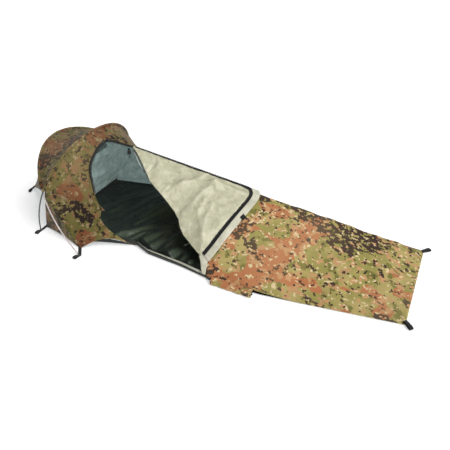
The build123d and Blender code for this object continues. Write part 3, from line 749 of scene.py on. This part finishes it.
def build_hood():
    panel("hood_side_far", far_hood_grid(), CAMO, LINING, slack=0.010, gravity=0.5,
          fields=[(0.006, 8, 0.10, 4.0, 4.4, 1.2), (0.003, 15, 0.045, 4.0, 3.3, 1.0)])
    edge = smooth_line(HOOD_EDGE[:9], 70) + resample(smooth_line(HOOD_EDGE[8:], 300), 36)[1:]
    grid = coons(front_seam(len(edge)), edge, 44, 0.066)
    panel("hood_side_near", grid, CAMO, LINING, slack=0.012, gravity=0.5,
          fields=[(0.007, 12, 0.11, 4.0, 1.4, 1.2), (0.0035, 25, 0.05, 4.0, 7.3, 1.0)])

    rear, front = [hoop_arc(hoop, 0.6, 120, PANEL_INSET) for hoop in (REAR_HOOP, FRONT_HOOP)]
    grid = coons(rear, front, 30)
    grid[:, :, 2] -= 0.014 * np.outer(np.sin(pi * np.linspace(0, 1, 120)), np.sin(pi * np.linspace(0, 1, 30)))
    panel("hood_roof", grid, CAMO, LINING, slack=0.006, gravity=0.4,
          fields=[(0.004, 5, 0.09, 3.0, 2.9, 1.1), (0.002, -20, 0.04, 3.0, 5.2, 1.0)])

    near_hem = resample([rear[0], AWNING_TIP], 61)
    far_hem = resample([mirror(AWNING_TIP), rear[-1]], 61)
    hem = near_hem[:-1] + [Vector((AWNING_TIP.x, 0, AWNING_TIP.z))] + far_hem[2:]
    hem = [p + UP * (0.014 * abs(sin(2 * pi * i / (len(hem) - 1)))) for i, p in enumerate(hem)]
    panel("vent_awning", coons(rear, resample(hem, 120), 44), CAMO, LINING, slack=0.006, gravity=0.3,
          fields=[(0.005, 5, 0.10, 4.0, 6.6, 1.2), (0.003, 30, 0.05, 3.0, 1.2, 1.0)], free_end=True)

    meet = hoop_point(FRONT_HOOP, FRONT_HOOP["meet"], MEET_INSET)
    for side, place, seed in (("near", Vector, 2.0), ("far", mirror, 3.0)):
        top, head, shoulder = [place(p) for p in (meet, HEAD_CORNER, SHOULDER_CORNER)]
        grid = coons(resample([top, head], 40, 0.01), resample([top, shoulder], 40, 0.01), 30, 0.016)
        panel(f"head_gusset_{side}", grid, CAMO, LINING, slack=0.004,
              fields=[(0.004, 20, 0.07, 3.0, seed, 1.1)])


# ---- inside the head end -------------------------------------------------------------------
def head_wall_row(reach, up, count):
    """A row of points across the head end, as far up as it lies along the front hoop's lean."""
    lean = radians(FRONT_HOOP["lean"])
    x = HEAD_X + 0.008 + up * sin(lean)
    return [Vector((x, y, up * cos(lean))) for y in spread(-reach, reach, count)]


def build_head_wall():
    reaches = [(0.018, 0.347), (0.06, 0.385), (0.14, 0.433), (0.25, 0.444), (0.36, 0.409), (0.44, 0.340),
               (0.50, 0.250), (0.53, 0.150), (0.545, 0.06)]
    grid = array([head_wall_row(follow(reaches, up), up, 70) for up in spread(0.018, 0.545, 50)])
    panel("head_wall", grid, LINING_OUT, LINING, slack=0.008, gravity=0.5,
          fields=[(0.020, 88, 0.10, 5.0, 3.7, 1.0), (0.009, 80, 0.050, 6.0, 8.1, 1.0)])
    grid = array([head_wall_row(0.120 * sqrt(max(0.0, 1 - share ** 2)) + 0.002, 0.402 + 0.086 * share, 30)
                  for share in spread(0, 1, 16)])
    grid[:, :, 0] += 0.016
    panel("vent_mesh", grid, NET, NET)


def far_hood_grid():
    edge = [HOOD_EDGE[0], APEX] + far_section(HOOD_END_X, 30)[::-1]
    return coons(front_seam(90, far=True), resample(edge, 90), 40, 0.004)


def build_lining_skirt():
    """The lining of the far side comes down inside the shell to the floor."""
    meet = mirror(hoop_point(FRONT_HOOP, FRONT_HOOP["meet"], MEET_INSET))
    seams = [spread(mirror(corner), meet, 31) for corner in (HEAD_CORNER, SHOULDER_CORNER)]
    gusset = [[q for pair in zip(*seams) for q in spread(*pair, 13)]]
    cover = [far_section(x, 40) for x in spread(HOOD_END_X, HOOD_END_X + 0.232, 30)]
    shell = np.concatenate([part.reshape(-1, 3) for part in (far_hood_grid(), array(gusset), array(cover))])
    rows = []
    for x in spread(-0.900, -0.320, 80):
        foot = follow([(-0.900, 0.334), (-0.621, 0.384), (-0.470, 0.405), (-0.320, 0.424)], x)
        row = []
        for share in spread(0, 1, 16):
            height = 0.010 + 0.120 * share
            near = np.hypot(shell[:, 0] - x, shell[:, 2] - height)
            limit = shell[near < near.min() + 0.012, 1].min() - 0.015
            row.append(Vector((x, min(foot + (limit - foot) * share ** 0.8, limit), height)))
        rows.append(row)
    panel("hood_lining_skirt", array(rows), LINING_OUT, LINING, in_cad=False,
          fields=[(0.010, 84, 0.08, 5.0, 2.4, 1.0)])


build_floor(FLOOR)
build_lining_skirt()
build_cover()
build_hood()
build_head_wall()

# ---- entrance flap -------------------------------------------------------------------------
COVER_SCALE = 0.600
FLAP_EDGE = [(-452, 0.012), (-250, 0.018), (-60, 0.020), (130, 0.020), (262, 0.026), (298, 0.07),
             (308, 0.17), (300, 0.32), (282, 0.48), (260, 0.62), (234, 0.76), (208, 0.86)]
FLAP_ROWS = 150
FLAP_COLUMNS = 100
STRIP_START = 86             # the row of the flap's edge where the storm strip begins

# The sharpest folds in the flap, as shares of the way from the apex to the two other corners.
FLAP_FOLDS = [
    ([(0.15, 0.38), (0.58, 0.17), (0.90, 0.10)], 0.012, 0.022),
    ([(0.12, 0.60), (0.30, 0.42), (0.58, 0.17)], 0.014, 0.030),
    ([(0.58, 0.17), (0.56, 0.30), (0.64, 0.34)], 0.008, 0.016),
    ([(0.33, 0.45), (0.44, 0.48)], 0.007, 0.014),
    ([(0.00, 0.99), (0.20, 0.68), (0.40, 0.45)], 0.013, 0.020),
    ([(0.08, 0.84), (0.16, 0.64), (0.33, 0.45)], 0.010, 0.018),
    ([(-0.02, 0.72), (0.20, 0.60)], 0.008, 0.018),
    ([(0.05, 0.24), (0.20, 0.23), (0.62, 0.02)], 0.009, 0.020),
    ([(0.20, 0.36), (0.36, 0.25), (0.62, 0.02)], 0.009, 0.018),
    ([(0.70, 0.10), (0.86, 0.22)], 0.006, 0.016),
    ([(0.02, 0.45), (0.12, 0.42), (0.24, 0.30)], 0.008, 0.016),
]


def flap_place(a, b):
    """A point of the flap from its shares of the way to the ridge corner and to the fold's foot."""
    return on_cover(APEX.x + 0.770 * a + 0.685 * b, 0.05 * a + 0.85 * b)


def fold_lines(grid, folds):
    """Sharp ridges along lines on a grid, as a height at each of its points."""
    height = np.zeros(grid.shape[:2])
    for places, rise, width in folds:
        line = np.array([tuple(p) for p in smooth_line([flap_place(*p) for p in places], 24)])
        near = np.full(grid.shape[:2], 9.0)
        for p, q in zip(line, line[1:]):
            along = q - p
            share = np.clip(((grid - p) @ along) / (along @ along), 0, 1)
            near = np.minimum(near, np.linalg.norm(grid - (p + share[..., None] * along), axis=2))
        height += rise * np.exp(-near / width)
    return height


def flap_edge(offset=0.0):
    """The flap's zipped edge on the cover, moved outwards by an offset."""
    points = [Vector((x * MM, share * COVER_SCALE, 0)) for x, share in FLAP_EDGE]
    line = resample(smooth_line(points, 400), FLAP_ROWS)
    out = []
    for i, p in enumerate(line):
        along = direction(line, i, 2)
        moved = p + Vector((along.y, -along.x, 0)).normalized() * offset
        out.append((moved.x, moved.y / COVER_SCALE))
    return out


def over_ridge(x, share, lift):
    """A point on the cover that may lie a little beyond the ridge, on the closed side."""
    if share >= 0:
        return on_cover(x, share, lift)
    slope = (on_cover(x, 0.0) - on_cover(x, 0.03)) / 0.03
    drop = Vector((0, 0, -0.55 * abs(share) * COVER_SCALE))
    return on_cover(x, 0.0, lift) + Vector((0, slope.y, 0)) * abs(share) + drop


def flap_strip(first, last, columns, lift, wave=0.0):
    """Rows on the cover between two offsets from the flap's edge."""
    edges = [flap_edge(offset) for offset in spread(first, last, columns)]
    rows = []
    for i, places in enumerate(zip(*edges)):
        stray = wave * noise.noise(Vector((i * 0.09, 3.0, 0)))
        rows.append([over_ridge(*place, lift + stray) for place in places])
    return array(rows)


def blend_flap(piece):
    """Moves a piece's placement into its mesh points."""
    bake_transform(piece)


def build_flap():
    fold = [(x, fold_share(x)) for x in spread(-0.462, FOLD_FOOT.x, FLAP_ROWS)]
    rows = []
    for (fx, fs), (ex, es) in zip(fold, flap_edge()):
        out = FOLD_OUT * fold_wave(fx)
        row = []
        for turn in spread(0, pi, 8)[:-1]:
            rise = FLAP_NORMAL * (0.0045 * (1 - cos(turn)))
            row.append(on_cover(fx, fs, 0.0005) + out + rise + FOLD_OUT * (0.006 * sin(turn)))
        for share in spread(0, 1, FLAP_COLUMNS):
            place = (fx + (ex - fx) * share, fs + (es - fs) * share)
            row.append(over_ridge(*place, 0.0095) + out * (1 - share) ** 2)
        rows.append(row)
    grid = array(rows)
    shape = grid.shape[:2]
    fade = edge_fade(shape, 0.05)
    fade[:, :12] *= np.linspace(0, 1, 12)[None, :]
    normals = grid_normals(grid)
    normals *= np.sign(normals[:, :, 2].sum())
    lines = normals * (2.3 * fold_lines(grid, FLAP_FOLDS) * edge_fade(shape, 0.10, (1, 1, 0, 1)))[:, :, None]
    fields = [(0.010, 35, 0.17, 2.6, 2.6, 1.1), (0.006, -25, 0.10, 2.8, 6.1, 1.0),
              (0.0022, 60, 0.05, 3.5, 4.9, 1.0)]
    blend_flap(panel("entrance_flap", grid, BEIGE, CAMO, None, held="folded", fields=fields, fade=fade,
                     inside=(0, 0, -2), lines=lines, slack=0.012, gravity=0.0, cap=0.006))
    line = [on_cover(fx, fs, 0.0045) + FOLD_OUT * (fold_wave(fx) + 0.0068) for fx, fs in fold]
    blend_flap(tube_mesh("flap_fold_piping", line, 0.0014, WEBBING, sides=8))


def build_flap_trim():
    grid = flap_strip(-0.003, 0.019, 6, 0.0125, wave=0.003)
    blend_flap(panel("flap_zip_tape", grid, TAPE, TAPE, None, inside=(0, 0, -2)))
    grid = flap_strip(0.017, 0.060, 12, 0.0085)[STRIP_START:]
    grid = wrinkle(grid, [(0.003, 0, 0.06, 2.0, 1.3, 1.0)], edge_fade(grid.shape[:2], 0.2, (1, 1, 1, 0)))
    blend_flap(panel("flap_storm_strip", grid, PALE, CAMO, None, inside=(0, 0, -2)))


def build_cover_trim():
    """The bound edge of the cover below the fold's foot, and the facing beside the fold line."""
    rows = []
    for x, inward in zip(spread(BINDING_X, COVER_CORNER_X, 60), spread(0.060, 0.010, 60)):
        rows.append([on_cover(place, cover_limit(x), 0.006) for place in spread(x - 0.013, x + inward, 10)])
    panel("cover_edge_binding", array(rows), PALE, PALE, in_cad=False, inside=(0, 0, -2))
    low = [on_cover(x, fold_share(x), -0.004) + FOLD_OUT * (fold_wave(x) + 0.008)
           for x in spread(-0.455, -0.305, 70)]
    out = [0.002 + 0.013 * max(sin(turn), 0) ** 0.6 for turn in spread(0, pi, 70)]
    grid = array([[p + FOLD_OUT * reach for reach in spread(0, w, 5)] for p, w in zip(low, out)])
    panel("entrance_facing", grid, PALE_LINING, LINING, in_cad=False, inside=(0, 0, -2))
    for name, share in (("inner", 0.35), ("outer", 1.0)):
        rim = [p + FOLD_OUT * (w * share) + FLAP_NORMAL * 0.001 for p, w in zip(low, out)]
        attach(tube_mesh(f"entrance_facing_piping_{name}", rim, 0.0013, TAPE, sides=8), "shell")


# ---- ribbons and coils ---------------------------------------------------------------------
def edge_directions(points, towards):
    """Directions square to a line that lean the way of the given vector."""
    ways = [direction(points, i) for i in range(len(points))]
    return [(towards - along * towards.dot(along)).normalized() for along in ways]


def circle(centre, across, up, radius, sides):
    turns = [2 * pi * k / sides for k in range(sides)]
    return [centre + across * (radius * cos(turn)) + up * (radius * sin(turn)) for turn in turns]


def ring_faces(start, rings, sides):
    """Faces of a closed tube whose rings of points follow each other from a start number."""
    faces = []
    for i in range(rings - 1):
        for k in range(sides):
            a, b = start + i * sides + k, start + i * sides + (k + 1) % sides
            faces.append((a, a + sides, b + sides, b))
    end = start + rings * sides
    return faces + [tuple(range(start, start + sides)), tuple(range(end - 1, end - 1 - sides, -1))]


def tube_mesh(name, line, radius, material, sides=6):
    """A round tube along a line of points."""
    up = Vector((0.3, 0.2, 1)).normalized()
    verts = []
    for i, p in enumerate(line):
        along = direction(line, i)
        across = along.cross(up)
        if across.length < 0.1:
            across = along.cross(Vector((1, 0, 0)))
        across.normalize()
        up = across.cross(along).normalized()
        verts += [tuple(v) for v in circle(p, across, up, radius, sides)]
    piece = mesh_object(name, verts, ring_faces(0, len(line), sides))
    give(piece, material)
    return piece


def run_length(points):
    return sum((q - p).length for p, q in zip(points, points[1:]))


COIL_PITCH = 0.0030
POINTS_A_TURN = 8


def coil(name, points, up, body="shell", node=None, radius=0.0016):
    """A zip's nylon coil: a fine helix along a line."""
    line = resample(points, int(run_length(points) / COIL_PITCH) * POINTS_A_TURN)
    helix = []
    for i, p in enumerate(line):
        along = direction(line, i)
        side = along.cross(up).normalized()
        turn = 2 * pi * i / POINTS_A_TURN
        helix.append(p + side * (radius * 1.5 * cos(turn)) + side.cross(along) * (radius * 0.8 * sin(turn)))
    return fit(tube_mesh(name, helix, 0.00055, COIL, sides=4), body, node)


def build_zips():
    edge = [over_ridge(x, share, 0.0155) for x, share in flap_edge(0.016)]
    blend_flap(coil("flap_zip_coil", edge, FLAP_NORMAL, None))

    seam = [APEX + at(2, -2, 2), at(-560, 3, 500), *HOOD_EDGE[:7]]
    line = resample(smooth_line(seam, 300), 200)
    inner = edge_directions(line, Vector((0.50, 0.30, -0.80)))
    grid = array([[p + way * reach for reach in spread(-0.001, 0.012, 5)] for p, way in zip(line, inner)])
    panel("hood_zip_tape", grid, TAPE, TAPE, fields=[(0.0015, 0, 0.03, 1.0, 2.2, 1.0)])
    fit(tube_mesh("hood_edge_binding", line, 0.0042, TAPE, sides=10), "shell")
    coil("hood_zip_coil", [p + way * 0.014 for p, way in zip(line, inner)], Vector((0.6, -0.6, 0.5)))

    xs = spread(-0.262, 0.300, 120)
    top = [Vector((x, -half_width(x, True) - 0.004, wall_height(x, True) + 0.001)) for x in xs]
    widths = [follow([(-0.262, 0.003), (-0.160, 0.007), (0.050, 0.011), (0.300, 0.018)], x) for x in xs]
    inwards = Vector((0, 0.60, 0.80))
    grid = array([[p + inwards * reach for reach in spread(0, w, 5)] for p, w in zip(top, widths)])
    panel("side_zip_lower_tape", grid, PALE_TAPE, TAPE, fields=[(0.003, 0, 0.05, 1.0, 4.2, 1.0)])
    coil("lower_zip_coil", [p + inwards * (w + 0.001) for p, w in zip(top, widths)], Vector((0, -0.8, 0.6)))

    for name, node, height in (("upper", "side_zip_chain", 0.0022), ("lower", None, -0.0022)):
        run = [p + Vector((0, -0.001, height)) for p in spread(SIDE_ZIP_START, SIDE_ZIP_END, 41)]
        coil(f"side_zip_coil_{name}", run, Vector((0, -1, 0)), node=node, radius=0.0011)
    give_node("side_zip_tapes", TAPE)


build_flap()
build_flap_trim()
build_cover_trim()
build_zips()


# ---- laps and small trim -------------------------------------------------------------------
def build_laps():
    grid = [[p + at(-12, -6, 2), p + Vector((0.80, 0.45, -0.20)) * (0.004 + 0.022 * share ** 3)]
            for p, share in zip(smooth_line(HOOD_EDGE[5:9], 60), spread(0, 1, 60))]
    panel("hood_storm_lap", coons(*zip(*grid), 10), CAMO, LINING, fields=[(0.002, 0, 0.05, 1.5, 3.0, 1.0)])

    rows = []
    for i, p in enumerate(spread(SIDE_ZIP_START.lerp(SIDE_ZIP_END, 0.045), SIDE_ZIP_END, 70)):
        ripple = 0.003 * noise.noise(Vector((i * 0.12, 0, 4.0)))
        profile = [p + at(0, 3, 22), p + at(0, -10, 20), p + at(0, -22, 8), p + at(0, -27, -13)]
        rows.append([q + Vector((0, ripple * j / 20, 0)) for j, q in enumerate(smooth_line(profile, 21))])
    panel("side_storm_flap", array(rows), CAMO, BEIGE)


build_laps()


# ---- hoops, straps and loops ---------------------------------------------------------------
def strap(name, points, width, body="shell", in_cad=True, thickness=0.0017, side=None):
    """A flat woven strap along a line of points."""
    line = resample(smooth_line(points, 160), 90)
    rows = []
    for i, p in enumerate(line):
        along = direction(line, i)
        across = along.cross(UP).normalized() if side is None else side
        across = (across - along * across.dot(along)).normalized()
        rows.append([p + across * reach for reach in spread(-width / 2, width / 2, 7)])
    return patch(name, array(rows), WEBBING, thickness, body, in_cad, offset=0)


# One stitch: how far along it, how thick and how high its rings are, as shares of its size.
STITCH = ((-1, 0.35, -0.4), (-0.6, 1.0, 0.6), (0.6, 1.0, 0.6), (1, 0.35, -0.4))


def stitches(name, runs, up, body, material, pitch=0.0058, length=0.0038, radius=0.00042):
    """Rows of thread stitches as one mesh. up faces out of the cloth."""
    up = up.normalized()
    verts, faces = [], []
    for run in runs:
        count = max(2, int(run_length(run) / pitch))
        middles = resample(run, 2 * count + 1)
        for i in range(1, 2 * count, 2):
            along = direction(middles, i)
            side = along.cross(up).normalized()
            faces += ring_faces(len(verts), len(STITCH), 5)
            for place, size, high in STITCH:
                centre = middles[i] + along * (place * length / 2) + up * (radius * high)
                verts += [tuple(v) for v in circle(centre, side, up, radius * size, 5)]
    piece = mesh_object(name, verts, faces)
    give(piece, material)
    if body:
        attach(piece, body)
    return piece


def box_stitch(name, centre, along, width, length):
    """The crossed square of stitches that fixes a strap."""
    across = along.cross(UP).normalized()
    a, b, c, d = [centre + along * (length * x) + across * (width * y)
                  for x, y in ((-0.5, -0.5), (0.5, -0.5), (0.5, 0.5), (-0.5, 0.5))]
    stitches(name, [[a, b, c, d, a], [a, c], [b, d]], UP, "shell", DARK_THREAD, pitch=0.0034, length=0.0024)


SLEEVE_SIDES = 16


def build_hoops():
    for name, hoop, material in (("front", FRONT_HOOP, DARK_POLE), ("rear", REAR_HOOP, PALE_POLE)):
        for number in range(1, 5):
            give_node(f"{name}_pole_{number}", material)
        for part, finish in (("ferrules", STEEL), ("tip_near", DARK_POLE), ("tip_far", DARK_POLE),
                             ("shock_cord", DARK_THREAD)):
            give_node(f"{name}_{part}", finish)
        line = hoop_arc(hoop, 3, 200)
        piece = tube_mesh(f"{name}_sleeve", line, 0.0078, CAMO, sides=SLEEVE_SIDES)
        for i, vertex in enumerate(piece.data.vertices):
            bump = noise.noise(vertex.co * 38) * 0.0011
            vertex.co += (vertex.co - line[i // SLEEVE_SIDES]).normalized() * bump
        layer = piece.data.uv_layers.new(name="cloth")
        for loop, place in zip(piece.data.loops, layer.data):
            ring, side = divmod(loop.vertex_index, SLEEVE_SIDES)
            place.uv = (side * 0.003, ring * 0.0075)
        fit(piece, "shell", f"{name}_sleeve")


def build_webbing():
    for where, *places in (("head", HEAD_CORNER, HEAD_EYE, HEAD_TIP),
                           ("shoulder", SHOULDER_CORNER, SHOULDER_EYE, SHOULDER_TIP)):
        for side, turned in (("near", Vector), ("far", mirror)):
            p, q, r = [turned(place) for place in places]
            along = (q - p).normalized()
            out = (r - q).normalized()
            strap(f"{where}_webbing_{side}", [
                p - along * 0.030 + UP * 0.013, p + UP * 0.006, p.lerp(q, 0.5) + UP * 0.0035,
                q - along * 0.012 + UP * 0.0016, q + UP * 0.0014], 0.020)
            strap(f"{where}_peg_loop_{side}", [
                q + UP * 0.0034, q + out * 0.016 + UP * 0.0034, r - out * 0.008 + UP * 0.0028,
                r - out * 0.001 + UP * 0.0080, r - out * 0.008 + UP * 0.0150,
                q + out * 0.022 + UP * 0.0130, q + out * 0.006 + UP * 0.0056], 0.020, in_cad=False)
            box_stitch(f"{where}_loop_stitch_{side}", q + out * 0.010 + UP * 0.0078, out, 0.013, 0.008)
            give_node(f"{where}_eyelet_{side}", STEEL)


def build_loops():
    for side, turned in (("near", Vector), ("far", mirror)):
        start, tip = turned(at(1352, -338, 7)), turned(at(1393, -384, 4))
        out = (tip - start).normalized()
        strap(f"foot_loop_{side}", [
            start + UP * 0.004, start.lerp(tip, 0.4) + UP * 0.001, tip - out * 0.006, tip + UP * 0.007,
            tip - out * 0.008 + UP * 0.014, start.lerp(tip, 0.4) + UP * 0.012, start + UP * 0.009], 0.020)
    top, low = at(-1384, -34, 16), at(-1371, -100, 4)
    side = Vector((1, 0, 0))
    out = (low - top).normalized()
    back = out.cross(side).normalized()
    strap("awning_loop", [
        top - out * 0.012, top, top.lerp(low, 0.5) + back * 0.004, low - out * 0.006, low + back * 0.006,
        low - out * 0.006 + back * 0.012, top.lerp(low, 0.55) + back * 0.009,
        top.lerp(low, 0.35) + back * 0.005], 0.018, side=side)


def build_seams():
    """Rows of stitching beside the seams that stay where they are pinned."""
    out = Vector((0, 0.6, 0.8))
    seam = far_section(HOOD_END_X, 60)
    runs = [[q + Vector((beside, 0, 0)) + out * 0.0012 for q in seam] for beside in (-0.005, 0.005)]
    stitches("hood_seam_stitches", runs, out, "shell", THREAD)
    rim = [[over_ridge(*place, 0.0138) for place in flap_edge(offset)] for offset in (0.000, 0.0155)]
    blend_flap(stitches("flap_tape_stitches", rim, Vector((0, -0.4, 0.9)), None, DARK_THREAD))
    edge = [on_cover(x - 0.009, cover_limit(x), 0.0078) for x in spread(BINDING_X, COVER_CORNER_X, 41)]
    stitches("cover_binding_stitches", [edge], Vector((0.2, -0.8, 0.6)), "shell", THREAD)


build_hoops()
build_webbing()
build_loops()
build_seams()

# ---- sliders, label and hook tab -----------------------------------------------------------
def floor_height(x, y):
    """Height of the creased floor at a place."""
    near = np.hypot(FLOOR[:, :, 0] - x, FLOOR[:, :, 1] - y)
    return float(FLOOR[:, :, 2].reshape(-1)[near.argmin()])


LABEL_X = 0.046
LABEL_Y = -0.244


def build_label():
    turn = radians(35)
    rows = []
    for b in spread(-0.015, 0.015, 18):
        places = [(LABEL_X + a * cos(turn) - b * sin(turn), LABEL_Y + a * sin(turn) + b * cos(turn))
                  for a in spread(-0.023, 0.023, 26)]
        rows.append([Vector((x, y, floor_height(x, y) + 0.0022)) for x, y in places])
    grid = array(rows)
    for _ in range(6):
        inner = grid[1:-1, 1:-1]
        inner[:, :, 2] = (grid[:-2, 1:-1, 2] + grid[2:, 1:-1, 2] + grid[1:-1, :-2, 2] + grid[1:-1, 2:, 2]) / 4
    sunk = max(floor_height(x, y) - z for x, y, z in grid.reshape(-1, 3))
    grid[:, :, 2] += max(0.0, sunk) + 0.0012
    patch("care_label", outwards(grid, (0, 0, -4)), LABEL, 0.0006, "shell")


def build_hook_tab():
    a, b, c, d = [on_cover(x * MM, share, 0.0125)
                  for x, share in ((339, 0.38), (330, 0.43), (363, 0.41), (354, 0.46))]
    grid = coons(spread(a, b, 12), spread(c, d, 12), 14)
    patch("flap_hook_tab", outwards(grid, (0, 0, -4)), WEBBING, 0.0014, "flap")


def build_top_pull():
    """The top slider's pull carries a folded woven tab."""
    top, low = at(-497, -10, 476), at(-497, -10, 444)
    out = Vector((0.65, -0.75, 0)) * 0.0016
    front = [low.lerp(top, 0.72) + out, low.lerp(top, 0.3) + out * 1.4, low + out]
    back = [low - out, low.lerp(top, 0.3) - out * 1.4, low.lerp(top, 0.72) - out]
    strap("top_pull_tab", front + [low - UP * 0.0022] + back, 0.024, "top_pull", in_cad=False,
          thickness=0.0014, side=Vector((0.75, 0.65, 0)))


for node in ("side_slider", "side_slider_pull", "top_slider", "top_slider_pull"):
    give_node(node, SLIDER)
build_label()
build_hook_tab()
build_top_pull()


# ---- stage ---------------------------------------------------------------------------------
WHITE = (1.0, 1.0, 1.0, 1.0)


def studio_lamp(name, kind, energy):
    lamp = bpy.data.objects.new(name, bpy.data.lights.new(name, kind))
    lamp.data.energy = energy
    bpy.context.collection.objects.link(lamp)
    return lamp


def build_stage():
    corners = [(-40, -40, 0), (40, -40, 0), (40, 40, 0), (-40, 40, 0)]
    floor = mesh_object("studio_floor", corners, [(0, 1, 2, 3)])
    n = Nodes("studio_floor", roughness=0.9, specular=0.05)
    n.feed(n.shader, Emission_Color=WHITE, Emission_Strength=0.42)
    give(floor, n.done(n.mix(n.noise(n.place(), 3.0, 3.0), srgb(234, 234, 234), srgb(238, 238, 238))))

    bpy.ops.mesh.primitive_uv_sphere_add(segments=64, ring_count=32, radius=36)
    backdrop = bpy.context.object
    backdrop.name = "studio_backdrop"
    backdrop.data.shade_smooth()
    n = Nodes("studio_backdrop", roughness=1.0, specular=0.0)
    n.feed(n.shader, Emission_Color=WHITE, Emission_Strength=1.0)
    give(backdrop, n.done((0.0, 0.0, 0.0, 1.0)))
    for ray in ("diffuse", "glossy", "transmission", "shadow"):
        setattr(backdrop, f"visible_{ray}", False)

    scene = bpy.context.scene
    scene.world = bpy.data.worlds.new("studio")
    scene.world.use_nodes = True
    sky = scene.world.node_tree.nodes["Background"]
    sky.inputs["Color"].default_value = WHITE
    sky.inputs["Strength"].default_value = 0.22

    key = studio_lamp("key", "SUN", 2.8)
    key.data.angle = radians(42)
    key.rotation_euler = Vector((0.62, -0.16, 0.77)).to_track_quat("Z", "Y").to_euler()
    fill = studio_lamp("hood_fill", "POINT", 0.9)
    fill.data.shadow_soft_size = 0.09
    fill.location = (-0.42, -0.10, 0.36)
    fill.visible_camera = False
    fill.visible_glossy = False

    camera = bpy.data.objects.new("camera", bpy.data.cameras.new("camera"))
    camera.location = (1.350, -2.469, 1.804)
    aim = Vector((0.126, 0.114, 0.0)) - camera.location
    camera.rotation_euler = aim.to_track_quat("-Z", "Y").to_euler()
    camera.data.lens = 40.66
    camera.data.sensor_width = 36
    bpy.context.collection.objects.link(camera)
    scene.camera = camera
    scene.view_settings.view_transform = "Standard"


build_stage()
